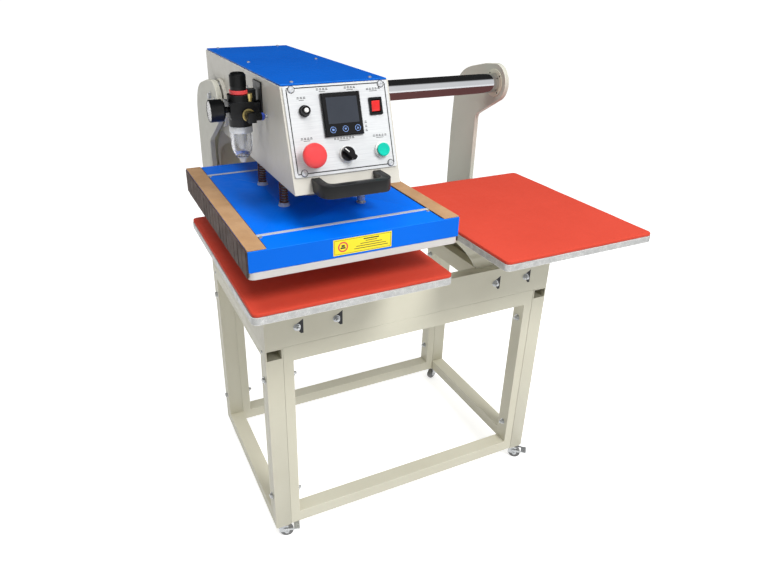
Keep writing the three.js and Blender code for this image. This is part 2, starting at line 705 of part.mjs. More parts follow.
function filterBowl() {
  const top = FRL_LOW - 12 - TOUCH - BOWL_LOW;
  const solid = turned([
    [0, 9], [5.4, 9], [5.4, 0], [8, 0], [8, 10], [15, 11.2], [19.5, 16],
    [21, 24], [21, top], [18.3, top], [18.3, 26], [17.5, 20], [14, 15], [0, 14],
  ]);
  return part('filter_bowl', solid.translate([FRL_X, FRL_Y, BOWL_LOW]), CLEAR);
}

const DRAIN_TRAVEL = 2.5;
function drainValve() {
  const top = -DRAIN_TRAVEL - TOUCH;
  const solid = turned([
    [0, -10], [5.5, -10], [6.8, -8.5], [6.8, top - 0.5], [5, top], [5, 5.5], [0, 5.5],
  ], 18);
  return part('drain_valve', solid.translate([FRL_X, FRL_Y, BOWL_LOW]), WHITE);
}

// The outlet leaves the front of the regulator, turns in an elbow and enters the head's wall.
function airLine() {
  const x = FRL_X + 9;
  const z = PORT_Z;
  const start = FRL_Y - 25 - TOUCH;
  const turn = start - 20;
  const wall = -HEAD_HALF - TOUCH;
  const fitting = join(
    bar('y', z, x, 8, start - 10, start, 18),
    box(x - 7, x + 7, start - 27, start - 9, z - 9, z + 8),
    bar('x', turn, z, 6.5, x + 6, wall - 10, 18),
  );
  const tube = bar('x', turn, z, 3, wall - 10 + TOUCH, wall, 14);
  return [part('air_fitting', fitting, STEEL), part('air_tube', tube, CLEAR)];
}

// ---- casters ----
const WHEEL_R = 17.5;
const TRAIL = 12;

function caster(name, x, y, heading, braked) {
  const group = new THREE.Group();
  group.position.set(x, y, 0);
  group.rotation.z = heading;
  let fork = bar('z', 0, 0, 14, 38, CASTER_HEIGHT - 8 - TOUCH, 16);
  for (const side of [-1, 1]) {
    const y0 = side < 0 ? -10 : 8;
    fork = join(fork, prism(outline([
      [0, 0], [26, 0], [26, 9], [6, 22], [0, 22],
    ]), 'z', 0, 2).rotate([90, 0, 0]).translate([-7, y0 + 2, 17.5]));
    fork = join(fork, box(-9, 17, y0, y0 + 2, 30, 39));
    fork = join(fork, bar('y', WHEEL_R, TRAIL, 6, y0, y0 + 2, 10));
  }
  fork = join(fork, box(-11, 14, -10, 10, 36.5, 39), bar('y', WHEEL_R, TRAIL, 3, -11, 11, 8));
  const wheel = cut(bar('y', WHEEL_R, TRAIL, WHEEL_R, -7, 7, 28),
    bar('y', WHEEL_R, TRAIL, 3 + 2 * RUN, -8, 8, 10));
  group.add(part(`${name}_caster_fork`, fork, STEEL));
  group.add(part(`${name}_caster_wheel`, wheel, BLACK));
  if (braked) {
    let pedal = box(31, 46, -12.8, 12.8, 27, 29.5);
    for (const side of [-1, 1]) {
      const y0 = side < 0 ? -12.8 : 10.8;
      const pin = side < 0 ? -11 : 10.3;
      pedal = join(pedal, box(4, 32, y0, y0 + 2, 25.5, 31), bar('y', 28.3, 8, 2, pin, pin + 0.7, 10));
    }
    group.add(part(`${name}_brake_pedal`, pedal, STEEL));
  }
  return group;
}

// ---- assembly ----
const press = new THREE.Group();
press.name = 'heat_press';
press.add(sideFrame(-1), sideFrame(1));
press.add(crossFrame('front_frame', STAND_FRONT));
press.add(crossFrame('rear_frame', STAND_REAR - TUBE));
press.add(deck());
for (const side of [-1, 1]) {
  press.add(pedestal(side), ...lowerPlaten(side), upright(side));
}
press.add(guideShaft(), guideRail());

const head = new THREE.Group();
head.position.x = HEAD_X;
head.add(headShell(), headCover(), bearingHousing(), carriageArm(), guideShoe(), handle());
head.add(airCylinder(), frlBody(), frlBracket(), regulatorKnob(), ...gauge());
head.add(filterBowl(), drainValve(), ...airLine());

const panel = new THREE.Group();
panel.applyMatrix4(panelMatrix());
panel.add(controlPanel(), controller(), ...rockerSwitch());
panel.add(controlRing('estop_collar', ESTOP, 15, 11, WHITE), estopButton());
panel.add(controlRing('selector_ring', SELECTOR, 14, 5, WHITE), selectorKnob());
panel.add(controlRing('start_ring', START, 13.5, 6, WHITE), startButton());
head.add(panel);

head.add(pistonRod(), heatingPlate(), platenCover(), edgeStrip(-1), edgeStrip(1));
let springIndex = 1;
for (const x of [-STUD_X, STUD_X]) {
  for (const y of STUD_Y) {
    head.add(returnSpring(springIndex, x, y));
    springIndex += 1;
  }
}
press.add(head);

const CASTERS = [
  ['front_left', -1, 0, -0.3, true],
  ['front_right', 1, 0, -0.7, true],
  ['rear_left', -1, 1, -0.4, false],
  ['rear_right', 1, 1, 3.5, false],
];
for (const [name, side, row, heading, braked] of CASTERS) {
  press.add(caster(name, side * LEG_CENTRE_X, LEG_CENTRE_Y[row], heading, braked));
}

export default press;
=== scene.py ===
# %% [markdown]
# # A double-station pneumatic heat press
# The machine slides one heated head between two padded platens. The CAD model is
# already made and is loaded as a fixed frame, so every piece here is placed from
# the frame's own sizes and rides on one of its moving bodies.

# %% Load the frame and keep its box
import json
import math

import bmesh
import bpy
from mathutils import Matrix, Vector


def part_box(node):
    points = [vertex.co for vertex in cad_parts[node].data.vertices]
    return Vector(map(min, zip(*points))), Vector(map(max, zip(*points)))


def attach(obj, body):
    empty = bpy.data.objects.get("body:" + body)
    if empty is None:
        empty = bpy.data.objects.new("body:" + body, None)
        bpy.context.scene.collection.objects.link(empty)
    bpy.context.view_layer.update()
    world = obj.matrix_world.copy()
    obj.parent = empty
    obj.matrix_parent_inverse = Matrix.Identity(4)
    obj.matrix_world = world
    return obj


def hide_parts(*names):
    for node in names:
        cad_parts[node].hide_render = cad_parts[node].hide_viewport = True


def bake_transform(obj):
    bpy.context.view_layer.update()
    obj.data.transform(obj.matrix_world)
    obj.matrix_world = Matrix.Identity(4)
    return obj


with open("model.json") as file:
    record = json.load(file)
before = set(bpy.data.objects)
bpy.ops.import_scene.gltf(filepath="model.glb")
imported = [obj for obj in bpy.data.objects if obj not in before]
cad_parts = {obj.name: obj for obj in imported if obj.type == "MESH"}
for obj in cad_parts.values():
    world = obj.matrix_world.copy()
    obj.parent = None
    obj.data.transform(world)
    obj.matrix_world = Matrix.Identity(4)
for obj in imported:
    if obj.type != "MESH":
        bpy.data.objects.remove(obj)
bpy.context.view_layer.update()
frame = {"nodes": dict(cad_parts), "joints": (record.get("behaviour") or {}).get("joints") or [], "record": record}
MM = 0.001

# %% [markdown]
# ## The camera
# A camera placed by numbers can't drift when pieces change. Three angles turn it,
# and the small shift keeps the machine where it belongs in the picture.

# %% Camera
AZIMUTH, DOWN, ROLL = (math.radians(a) for a in (24.966, 26.338, 0.593))
ahead = Vector((math.sin(AZIMUTH) * math.cos(DOWN), math.cos(AZIMUTH) * math.cos(DOWN),
                -math.sin(DOWN)))
level = Vector((math.cos(AZIMUTH), -math.sin(AZIMUTH), 0))
above = level.cross(ahead)
right = level * math.cos(ROLL) + above * math.sin(ROLL)
upward = above * math.cos(ROLL) - level * math.sin(ROLL)
lens = bpy.data.cameras.new("camera")
lens.sensor_width, lens.lens = 36, 29.316
lens.shift_x, lens.shift_y = 0.0356, -0.0155
camera = bpy.data.objects.new("camera", lens)
CAMERA_AT = (-0.68907, -1.25724, 1.33826)
camera.matrix_world = (Matrix.Translation(CAMERA_AT)
                       @ Matrix((right, upward, -ahead)).transposed().to_4x4())
bpy.context.collection.objects.link(camera)
bpy.context.scene.camera = camera
bpy.context.scene.view_settings.view_transform = "Standard"
print("camera height:", round(camera.matrix_world.translation.z, 3), "m")

# %% [markdown]
# ## Floor and light
# A plain pale floor and a bright studio. The back wall of the studio is dark, which
# is what draws the black band along a chromed bar, and a large soft lamp in front
# and to the right leaves the left sides of the machine in half shade.

# %% Floor
def link_object(name, data):
    linked = bpy.data.objects.new(name, data)
    bpy.context.collection.objects.link(linked)
    return linked


def stage_sheet(name, x, y, z, base, glow, strength):
    """A flat matt sheet of the stage, in metres, that may also glow."""
    mesh = bpy.data.meshes.new(name)
    mesh.from_pydata([(x[0], y[0], z), (x[1], y[0], z), (x[1], y[1], z), (x[0], y[1], z)], [],
                     [(0, 1, 2, 3)])
    material = bpy.data.materials.new(name)
    material.use_nodes = True
    shader = material.node_tree.nodes["Principled BSDF"]
    for label, value in (("Base Color", base), ("Roughness", 1.0), ("Specular IOR Level", 0.0),
                         ("Emission Color", glow), ("Emission Strength", strength)):
        shader.inputs[label].default_value = value
    mesh.materials.append(material)
    sheet = link_object(name, mesh)
    return sheet


FLOOR_HALF, FLOOR_GREY, FLOOR_GLOW = 40, (0.82, 0.82, 0.82, 1), 0.55
floor = stage_sheet("floor", (-FLOOR_HALF, FLOOR_HALF), (-FLOOR_HALF, FLOOR_HALF), 0,
                    FLOOR_GREY, (1, 1, 1, 1), FLOOR_GLOW)
floor.visible_diffuse = False
print("floor:", 2 * FLOOR_HALF, "m wide")

# %% Set or link a socket
def feed(tree, socket, value):
    """Links a socket's value to it, or sets a plain number, colour or vector on it."""
    if hasattr(value, "links"):
        tree.links.new(value, socket)
    else:
        socket.default_value = value


def node(tree, kind, sockets=None, **fields):
    """Adds a node, sets its own fields, and feeds its sockets by name or number."""
    added = tree.nodes.new(kind)
    for key, value in fields.items():
        setattr(added, key, value)
    for key, value in (sockets or {}).items():
        feed(tree, added.inputs[key], value)
    return added


def remap(tree, value, low, high, to_low=0.0, to_high=1.0):
    return node(tree, "ShaderNodeMapRange", {"Value": value, "From Min": low, "From Max": high,
                                             "To Min": to_low, "To Max": to_high}).outputs["Result"]


def multiply(tree, a, b):
    return node(tree, "ShaderNodeMath", {0: a, 1: b}, operation="MULTIPLY").outputs[0]


print("shader helpers:", feed.__name__, node.__name__, remap.__name__, multiply.__name__)

# %% World and lamps
def studio_world(room=0.54, ceiling=1.0, left=0.40, bounce=1.06, wall=0.03):
    """Soft light all round, dimmer from the left. Reflections see a dark room behind and above."""
    world = bpy.data.worlds.new("studio")
    world.use_nodes = True
    nodes, links = world.node_tree.nodes, world.node_tree.links
    nodes.clear()
    split, seen = nodes.new("ShaderNodeSeparateXYZ"), nodes.new("ShaderNodeLightPath")
    links.new(nodes.new("ShaderNodeTexCoord").outputs["Generated"], split.inputs[0])

    def ramp(axis, low, high, to_low, to_high):
        return remap(world.node_tree, split.outputs[axis], low, high, to_low, to_high)

    def mixed(factor, a, b):
        return node(world.node_tree, "ShaderNodeMix",
                    {"Factor": factor, "A": a, "B": b}).outputs["Result"]

    soft = multiply(world.node_tree, ramp("Z", 0.0, 0.6, room, ceiling),
                    ramp("X", -0.7, 0.1, left, 1.0))
    soft = mixed(ramp("Z", -0.12, 0.0, 0.0, 1.0), bounce, soft)
    in_front = mixed(ramp("Z", -0.35, -0.20, 0.0, 1.0), wall, 1.0)
    mirrored = mixed(ramp("Y", -0.58, -0.40, 0.0, 1.0), in_front, wall)
    strength = mixed(seen.outputs["Is Camera Ray"],
                     mixed(seen.outputs["Is Glossy Ray"], soft, mirrored), 1.0)
    sky, out = nodes.new("ShaderNodeBackground"), nodes.new("ShaderNodeOutputWorld")
    links.new(strength, sky.inputs["Strength"])
    links.new(sky.outputs[0], out.inputs["Surface"])
    bpy.context.scene.world = world


def soft_lamp(name, at, towards, size, watts):
    lamp = bpy.data.lights.new(name, "AREA")
    lamp.shape, lamp.size, lamp.energy = "DISK", size, watts
    holder = link_object(name, lamp)
    turn = (Vector(at) - Vector(towards)).to_track_quat("Z", "Y")
    holder.matrix_world = Matrix.Translation(at) @ turn.to_matrix().to_4x4()
    holder.visible_glossy = False


studio_world()
soft_lamp("key", (0.7, -2.7, 3.5), (0, 0, 0.7), 1.3, 106)
soft_lamp("top", (-0.9, -0.3, 3.4), (0, 0, 0.7), 1.4, 30)

# %% [markdown]
# ## Shared surface effects
# Real powder coat, cast plate and moulded plastic are never one flat colour. Three
# shader groups carry what they share: `grain` (a slow drift of colour, a fine bump
# and edges that are partly worn and partly lightened as a painted highlight), `streaks`
# (brushing along one direction) and `settled_dust` (a pale film on what faces up).
# Each material places a group with its own values.

# %% Building blocks for shader trees
def shader_group(name, inputs, outputs):
    group = bpy.data.node_groups.new(name, "ShaderNodeTree")
    for label, kind, value in inputs:
        socket = group.interface.new_socket(label, in_out="INPUT", socket_type="NodeSocket" + kind)
        socket.default_value = value
    for label, kind in outputs:
        group.interface.new_socket(label, in_out="OUTPUT", socket_type="NodeSocket" + kind)
    return group, group.nodes.new("NodeGroupInput").outputs, group.nodes.new(
        "NodeGroupOutput").inputs


def noise(tree, vector, scale, detail=3.0, roughness=0.55):
    return node(tree, "ShaderNodeTexNoise", {"Detail": detail, "Roughness": roughness,
                                             "Vector": vector, "Scale": scale}).outputs["Fac"]


def blend_colour(tree, factor, a, b):
    return node(tree, "ShaderNodeMix", {"Factor": factor, "A": a, "B": b},
                data_type="RGBA").outputs["Result"]


print("group helpers:", shader_group.__name__, noise.__name__, blend_colour.__name__)

# %% Group: grain
GRAIN, given, made = shader_group("grain",
                                  [("Color", "Color", (0.5, 0.5, 0.5, 1)),
                                   ("Shade", "Color", (0.4, 0.4, 0.4, 1)),
                                   ("Edge Color", "Color", (0.7, 0.7, 0.7, 1)),
                                   ("Patch Scale", "Float", 6.0), ("Grain Scale", "Float", 900.0),
                                   ("Speckle", "Float", 0.0), ("Edge Wear", "Float", 0.3),
                                   ("Rough Low", "Float", 0.35), ("Rough High", "Float", 0.5)],
                                  [("Color", "Color"), ("Roughness", "Float"), ("Height", "Float")])
where = GRAIN.nodes.new("ShaderNodeTexCoord").outputs["Object"]
patches = remap(GRAIN, noise(GRAIN, where, given["Patch Scale"], 4), 0.32, 0.68)
fine = noise(GRAIN, where, given["Grain Scale"], 2)
specks = multiply(GRAIN, remap(GRAIN, fine, 0.40, 0.62), given["Speckle"])
# The bevel faces blend toward Edge Color: partly edge wear, partly a painted highlight that lightens the edges.
edge = GRAIN.nodes.new("ShaderNodeAttribute")
edge.attribute_name = "edge"
worn_and_lit_edges = multiply(GRAIN, multiply(GRAIN, edge.outputs["Fac"], given["Edge Wear"]),
                remap(GRAIN, noise(GRAIN, where, 35.0, 3), 0.3, 0.6, 0.35, 1))
tone = blend_colour(GRAIN, patches, given["Color"], given["Shade"])
tone = blend_colour(GRAIN, specks, tone, given["Shade"])
GRAIN.links.new(blend_colour(GRAIN, worn_and_lit_edges, tone, given["Edge Color"]), made["Color"])
GRAIN.links.new(remap(GRAIN, noise(GRAIN, where, 60.0, 3), 0.3, 0.7, given["Rough Low"],
                      given["Rough High"]), made["Roughness"])
GRAIN.links.new(fine, made["Height"])
print("grain nodes:", len(GRAIN.nodes))

# %% Group: streaks
STREAKS, given, made = shader_group("streaks",
                                    [("Color", "Color", (0.7, 0.7, 0.7, 1)),
                                     ("Shade", "Color", (0.5, 0.5, 0.5, 1)),
                                     ("Along", "Vector", (1, 1, 1)), ("Scale", "Float", 400.0),
                                     ("Rough Low", "Float", 0.25), ("Rough High", "Float", 0.4)],
                                    [("Color", "Color"), ("Roughness", "Float"),
                                     ("Height", "Float")])
stretch = STREAKS.nodes.new("ShaderNodeVectorMath")
stretch.operation = "MULTIPLY"
STREAKS.links.new(STREAKS.nodes.new("ShaderNodeTexCoord").outputs["Object"], stretch.inputs[0])
STREAKS.links.new(given["Along"], stretch.inputs[1])
lines = noise(STREAKS, stretch.outputs[0], given["Scale"], 4, 0.6)
STREAKS.links.new(blend_colour(STREAKS, remap(STREAKS, lines, 0.35, 0.65), given["Color"],
                               given["Shade"]), made["Color"])
STREAKS.links.new(remap(STREAKS, lines, 0.3, 0.7, given["Rough Low"], given["Rough High"]),
                  made["Roughness"])
STREAKS.links.new(lines, made["Height"])
print("streaks nodes:", len(STREAKS.nodes))

# %% Group: settled dust
DUST, given, made = shader_group("settled_dust",
                                 [("Color", "Color", (0.5, 0.5, 0.5, 1)),
                                  ("Film", "Color", (0.72, 0.70, 0.66, 1)),
                                  ("Amount", "Float", 0.1), ("Scale", "Float", 9.0)],
                                 [("Color", "Color")])
facing = DUST.nodes.new("ShaderNodeSeparateXYZ")
DUST.links.new(DUST.nodes.new("ShaderNodeNewGeometry").outputs["Normal"], facing.inputs[0])
lying = multiply(DUST, remap(DUST, facing.outputs["Z"], 0.5, 0.98), given["Amount"])
cloud = remap(DUST,
              noise(DUST, DUST.nodes.new("ShaderNodeTexCoord").outputs["Object"], given["Scale"], 6,
                    0.7), 0.35, 0.75)
DUST.links.new(blend_colour(DUST, multiply(DUST, lying, cloud), given["Color"], given["Film"]),
               made["Color"])
print("shader groups:", [g.name for g in bpy.data.node_groups if g.bl_idname == "ShaderNodeTree"])

# %% [markdown]
# ## The finishes
# One function joins a group to a Principled shader: colour, roughness and a bump
# from the group, everything uniform set straight on the shader.

# %% A finish from a group
def srgb(r, g, b):
    """The linear colour of three 0-255 display values."""
    return tuple((c / 255 / 12.92) if c / 255 <= 0.04045 else ((c / 255 + 0.055) / 1.055) ** 2.4
                 for c in (r, g, b)) + (1.0,)


def finish_from(name, group, values, bump=0.0, bump_mm=0.05, dust=0.0, **shader_values):
    material = bpy.data.materials.new(name)
    material.use_nodes = True
    tree = material.node_tree
    shader = tree.nodes["Principled BSDF"]
    source = tree.nodes.new("ShaderNodeGroup")
    source.node_tree = group
    for label, value in values.items():
        source.inputs[label].default_value = value
    colour = source.outputs["Color"]
    if dust:
        film = tree.nodes.new("ShaderNodeGroup")
        film.node_tree = DUST
        film.inputs["Amount"].default_value = dust
        tree.links.new(colour, film.inputs["Color"])
        colour = film.outputs["Color"]
    tree.links.new(colour, shader.inputs["Base Color"])
    tree.links.new(source.outputs["Roughness"], shader.inputs["Roughness"])
    if bump:
        relief = tree.nodes.new("ShaderNodeBump")
        relief.inputs["Strength"].default_value = bump
        relief.inputs["Distance"].default_value = bump_mm * MM
        tree.links.new(source.outputs["Height"], relief.inputs["Height"])
        tree.links.new(relief.outputs["Normal"], shader.inputs["Normal"])
    for label, value in shader_values.items():
        shader.inputs[label.replace("_", " ")].default_value = value
    material.diffuse_color = values["Color"]
    return material


def grained(name, colour, shade, edge=None, patch=6.0, grain=900.0, speckle=0.0, edge_wear_and_highlight=0.3,
            rough=(0.35, 0.5), specular=0.35, **rest):
    values = {"Color": srgb(*colour), "Shade": srgb(*shade), "Edge Color": srgb(*(edge or colour)),
              "Patch Scale": patch, "Grain Scale": grain, "Speckle": speckle, "Edge Wear": edge_wear_and_highlight,
              "Rough Low": rough[0], "Rough High": rough[1]}
    return finish_from(name, GRAIN, values, Specular_IOR_Level=specular, **rest)


def brushed(name, colour, shade, along, scale, rough, **rest):
    values = {"Color": srgb(*colour), "Shade": srgb(*shade), "Along": along, "Scale": scale,
              "Rough Low": rough[0], "Rough High": rough[1]}
    return finish_from(name, STREAKS, values, Metallic=0.3, **rest)


print("white in linear light:", srgb(255, 255, 255)[0])

# %% Paints, plastics and metals
# The third colour of each finish is its edge colour, mostly lighter than the face: edge wear with a painted
# highlight on the edges.
CREAM = grained("cream_powder_coat", (217, 214, 195), (211, 207, 187), (230, 227, 211), 5, 1100,
                0.05, 0.5, (0.34, 0.46), bump=0.25, bump_mm=0.06, dust=0.06)
# Painted shade: the head shell and bearing housing take the cream coat darkened to grey.
SHADED_CREAM_COAT = grained("cream_greyed_by_painted_shade", (203, 200, 190), (196, 193, 183), (232, 229, 218), 5, 1100, 0.05,
               0.9, (0.30, 0.42), bump=0.25, bump_mm=0.06, dust=0.05)
# Painted shade: the uprights take a darker, greyer copy of the cream coat.
UPRIGHT_SHADED_CREAM = grained("upright_cream_with_painted_shade", (196, 195, 183), (189, 188, 176), (226, 224, 212), 5,
                       1100, 0.05, 0.8, (0.34, 0.46), bump=0.25, bump_mm=0.06, specular=0.2)
BLUE = grained("blue_powder_coat", (0, 108, 230), (0, 103, 220), (40, 136, 242), 4, 1300, 0.04, 0.5,
               (0.30, 0.42), bump=0.2, bump_mm=0.05, specular=0.08)
DEEP_BLUE = grained("blue_lid_coat", (2, 88, 186), (2, 83, 178), (50, 130, 225), 4, 1300, 0.04, 0.5,
                    (0.30, 0.42), bump=0.2, bump_mm=0.05, specular=0.1)
SILICONE = grained("silicone_foam", (207, 73, 55), (199, 68, 50), (220, 90, 69), 3, 700, 0.06, 0.3,
                   (0.55, 0.7), bump=0.4, bump_mm=0.12, specular=0.15)
CAST_PLATE = grained("cast_aluminium", (210, 210, 208), (168, 169, 168), (236, 236, 234), 70, 620,
                     0.9, 0.8, (0.32, 0.5), bump=0.7, bump_mm=0.15, Metallic=0.45)
IVORY_PLATE = grained("coated_heating_plate", (203, 199, 196), (194, 190, 187), (218, 215, 212), 12,
                      500, 0.15, 0.5, (0.35, 0.5), bump=0.3, bump_mm=0.08, Metallic=0.25)
CHROME = grained("hard_chrome", (225, 226, 229), (215, 217, 221), None, 8, 1500, 0.03, 0,
                 (0.05, 0.09), Metallic=1.0)
ZINC = grained("bright_zinc", (212, 214, 215), (176, 179, 182), (236, 237, 238), 60, 600, 0.25, 0.6,
               (0.2, 0.38), bump=0.15, bump_mm=0.05, Metallic=0.6)
SPRING = grained("oiled_spring_steel", (142, 92, 66), (92, 66, 54), None, 120, 900, 0.3, 0,
                 (0.35, 0.5), Metallic=0.35)
BLACK = grained("black_moulding", (12, 13, 14), (8, 9, 10), (54, 56, 59), 14, 1000, 0.1, 0.6,
                (0.3, 0.45), bump=0.35, bump_mm=0.06, specular=0.3)
GLOSS_BLACK = grained("gloss_black_moulding", (14, 14, 16), (10, 10, 12), (40, 41, 44), 14, 1000,
                      0.05, 0.4, (0.14, 0.24), specular=0.3)
RED = grained("red_moulding", (228, 74, 76), (218, 64, 67), (240, 120, 118), 20, 900, 0.05, 0.4,
              (0.28, 0.4), bump=0.1, Subsurface_Weight=0.08)
GREEN = grained("green_moulding", (24, 194, 170), (18, 180, 158), (110, 214, 190), 20, 900, 0.05,
                0.4, (0.22, 0.34), bump=0.1, specular=0.15)
WHITE = grained("white_moulding", (232, 232, 228), (222, 222, 218), (244, 244, 240), 20, 900, 0.05,
                0.3, (0.3, 0.42), bump=0.1)
BRASS = grained("nickelled_brass", (214, 196, 132), (190, 168, 104), (236, 222, 170), 60, 700, 0.15,
                0.5, (0.25, 0.4), Metallic=0.9)
BOARD = grained("edge_board", (186, 148, 108), (168, 130, 92), (204, 170, 130), 26, 320, 0.35, 0.5,
                (0.6, 0.8), bump=0.5, bump_mm=0.15, dust=0.05)
LAGGING = grained("side_lagging", (100, 82, 74), (70, 56, 51), (136, 116, 104), 22, 260, 0.4, 0.5,
                  (0.65, 0.85), bump=0.8, bump_mm=0.3)
TYRE = grained("caster_tyre", (132, 132, 132), (112, 112, 112), (160, 160, 160), 30, 800, 0.2, 0.6,
               (0.45, 0.6), bump=0.3)
INK = grained("printed_ink", (40, 41, 44), (32, 33, 36), None, 30, 900, 0.1, 0, (0.5, 0.6))
YELLOW = grained("yellow_label", (246, 226, 26), (240, 218, 20), None, 12, 900, 0.03, 0,
                 (0.35, 0.45), Coat_Weight=0.2)
PANEL = brushed("silver_panel", (226, 228, 229), (214, 216, 218), (0.03, 1, 1), 900, (0.3, 0.42),
                bump=0.08, bump_mm=0.02)
STRIP = brushed("bright_strip", (226, 228, 230), (196, 199, 203), (0.05, 1, 1), 700, (0.18, 0.3))
print("finishes:", len(bpy.data.materials))

# %% [markdown]
# Clear plastic and glass need transmission instead of a painted surface, so they are
# made by hand from the same noise. The screen is a plain dark finish without a glow.

# %% Clear plastics and the screen
def clear_moulding(name, tint, rough):
    material = finish_from(name, GRAIN,
                           {"Color": tint, "Shade": tint, "Edge Color": tint, "Patch Scale": 9.0,
                            "Grain Scale": 300.0, "Speckle": 0.0, "Edge Wear": 0.0,
                            "Rough Low": rough, "Rough High": rough * 2.5})
    shader = material.node_tree.nodes["Principled BSDF"]
    material.node_tree.links.remove(shader.inputs["Base Color"].links[0])
    shader.inputs["Base Color"].default_value = tint
    shader.inputs["Transmission Weight"].default_value = 0.95
    shader.inputs["IOR"].default_value = 1.47
    return material


CLEAR = clear_moulding("clear_bowl", (0.93, 0.94, 0.96, 1), 0.04)
GLASS = clear_moulding("gauge_glass", (0.98, 0.98, 0.98, 1), 0.01)
SCREEN = grained("dark_display", (58, 62, 70), (50, 54, 61), None, 10, 500, 0.05, 0, (0.3, 0.4),
                 specular=0.15)
ICON = grained("touch_icon", (120, 150, 205), (104, 134, 190), None, 10, 500, 0.05, 0, (0.3, 0.4))
BLUE_RING = grained("blue_collet", (66, 92, 196), (54, 78, 178), (120, 140, 220), 40, 900, 0.1, 0.4,
                    (0.25, 0.4))
ROCKER_RED = grained("rocker_red", (226, 22, 22), (205, 14, 14), (250, 90, 80), 60, 900, 0.05, 0.5,
                     (0.12, 0.22), Coat_Weight=0.6)
print("clear finishes:", CLEAR.name, GLASS.name)

# %% [markdown]
# ## Mesh tools
# Shapes are drawn in millimetres and scaled once, when they are kept. `softened`
# copies a CAD node, merges its loose triangles into real faces and rolls its sharp
# edges over, because the thin highlight on a folded or sawn edge is what makes metal
# look like metal. The strip of faces that the bevel adds carries the `edge` mask.

# %% Where the frame says things are
BODY = {node: body for body, nodes in frame["record"]["behaviour"]["bodies"].items()
        for node in nodes}
JOINT = {joint["name"]: joint for joint in frame["joints"]}


def span(node):
    """Lowest and highest corner of a CAD node in mm."""
    low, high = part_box(node)
    return low / MM, high / MM


def centre(node):
    low, high = span(node)
    return (low + high) / 2


HEAD_LOW = span("head_shell")[0]
HEAD_X = centre("head_shell").x
print("head centre line at x =", round(HEAD_X, 1))

# %% Keep a shape as a piece
ANGLE_FLAT = math.radians(22)


def keep(name, shape, materials, body, merge=0.002):
    bmesh.ops.remove_doubles(shape, verts=shape.verts, dist=merge)
    bmesh.ops.recalc_face_normals(shape, faces=shape.faces)
    bmesh.ops.scale(shape, vec=(MM, MM, MM), verts=shape.verts)
    mesh = bpy.data.meshes.new(name)
    shape.to_mesh(mesh)
    shape.free()
    for material in materials if isinstance(materials, (list, tuple)) else [materials]:
        mesh.materials.append(material)
    mesh.shade_smooth()
    mesh.set_sharp_from_angle(angle=ANGLE_FLAT)
    piece = link_object(name, mesh)
    if body:
        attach(piece, body)
    return piece


def stand_in(node, name, shape, materials, merge=0.002):
    """Keeps a shape in place of a CAD node, on the node's own body."""
    piece = keep(name, shape, materials, BODY[node], merge)
    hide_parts(node)
    return piece


def join(*shapes):
    """Several shapes as one, each keeping its edge mask and its material numbers."""
    whole = bmesh.new()
    mask = whole.faces.layers.float.new("edge")
    for shape in shapes:
        own = shape.faces.layers.float.get("edge")
        copies = {v: whole.verts.new(v.co) for v in shape.verts}
        for face in shape.faces:
            copy = whole.faces.new([copies[v] for v in face.verts])
            copy[mask] = face[own] if own else 0.0
            copy.material_index = face.material_index
        shape.free()
    return whole


def moved(shape, matrix):
    shape.transform(matrix)
    return shape


def painted(shape, index):
    for face in shape.faces:
        face.material_index = index
    return shape


def soften(shape, width, steps=2, sharper=30):
    mask = shape.faces.layers.float.get("edge") or shape.faces.layers.float.new("edge")
    sharp = [e for e in shape.edges
             if len(e.link_faces) == 2 and e.calc_face_angle(0) > math.radians(sharper)]
    if width and sharp:
        for face in bmesh.ops.bevel(shape, geom=sharp, offset=width, segments=steps, profile=0.5,
                                    affect="EDGES", clamp_overlap=True)["faces"]:
            face[mask] = 1.0
    return shape


print("edges sharper than", round(math.degrees(ANGLE_FLAT)), "degrees stay sharp")

# %% Simple shapes in mm
def block(x, y, z, width=0.6, steps=2):
    """A box between two x, two y and two z values, with rolled edges."""
    shape = bmesh.new()
    bmesh.ops.create_cube(shape, size=1)
    for v in shape.verts:
        v.co = Vector([max(pair) if c > 0 else min(pair) for c, pair in zip(v.co, (x, y, z))])
    return soften(shape, width, steps)


def turned(profile, steps=32):
    """(radius, height) points revolved round Z. A radius of 0 closes the shape."""
    shape = bmesh.new()
    rings = []
    for radius, height in profile:
        turns = [0] if radius < 1e-6 else [math.tau * k / steps for k in range(steps)]
        rings.append([shape.verts.new((radius * math.cos(a), radius * math.sin(a), height))
                      for a in turns])
    for low, high in zip(rings, rings[1:]):
        for k in range(steps):
            corners = [low[k % len(low)], low[(k + 1) % len(low)], high[(k + 1) % len(high)],
                       high[k % len(high)]]
            shape.faces.new(list(dict.fromkeys(corners)))
    return shape


def slice_of(outline, low, high, width=0.6, steps=2):
    """A flat outline in XY pulled up between two heights."""
    shape = bmesh.new()
    rings = [[shape.verts.new((x, y, z)) for x, y in outline] for z in (low, high)]
    shape.faces.new(rings[0][::-1])
    shape.faces.new(rings[1])
    for k in range(len(outline)):
        n = (k + 1) % len(outline)
        shape.faces.new((rings[0][k], rings[0][n], rings[1][n], rings[1][k]))
    return soften(shape, width, steps)


def rounded_outline(x0, x1, y0, y1, radius, steps=6):
    corners = ((x1 - radius, y1 - radius, 0), (x0 + radius, y1 - radius, 90),
               (x0 + radius, y0 + radius, 180), (x1 - radius, y0 + radius, 270))
    return [(cx + radius * math.cos(math.radians(start + 90 * k / steps)),
             cy + radius * math.sin(math.radians(start + 90 * k / steps)))
            for cx, cy, start in corners for k in range(steps + 1)]


def aim(at, towards=(0, 0, 1), turn=0.0):
    """Puts a shape drawn on the origin at a point, its Z along a direction."""
    rest = Vector((0, 0, 1)).rotation_difference(Vector(towards).normalized()).to_matrix().to_4x4()
    return Matrix.Translation(at) @ rest @ Matrix.Rotation(math.radians(turn), 4, "Z")


print("a rounded outline has", len(rounded_outline(-10, 10, -10, 10, 2)), "points")

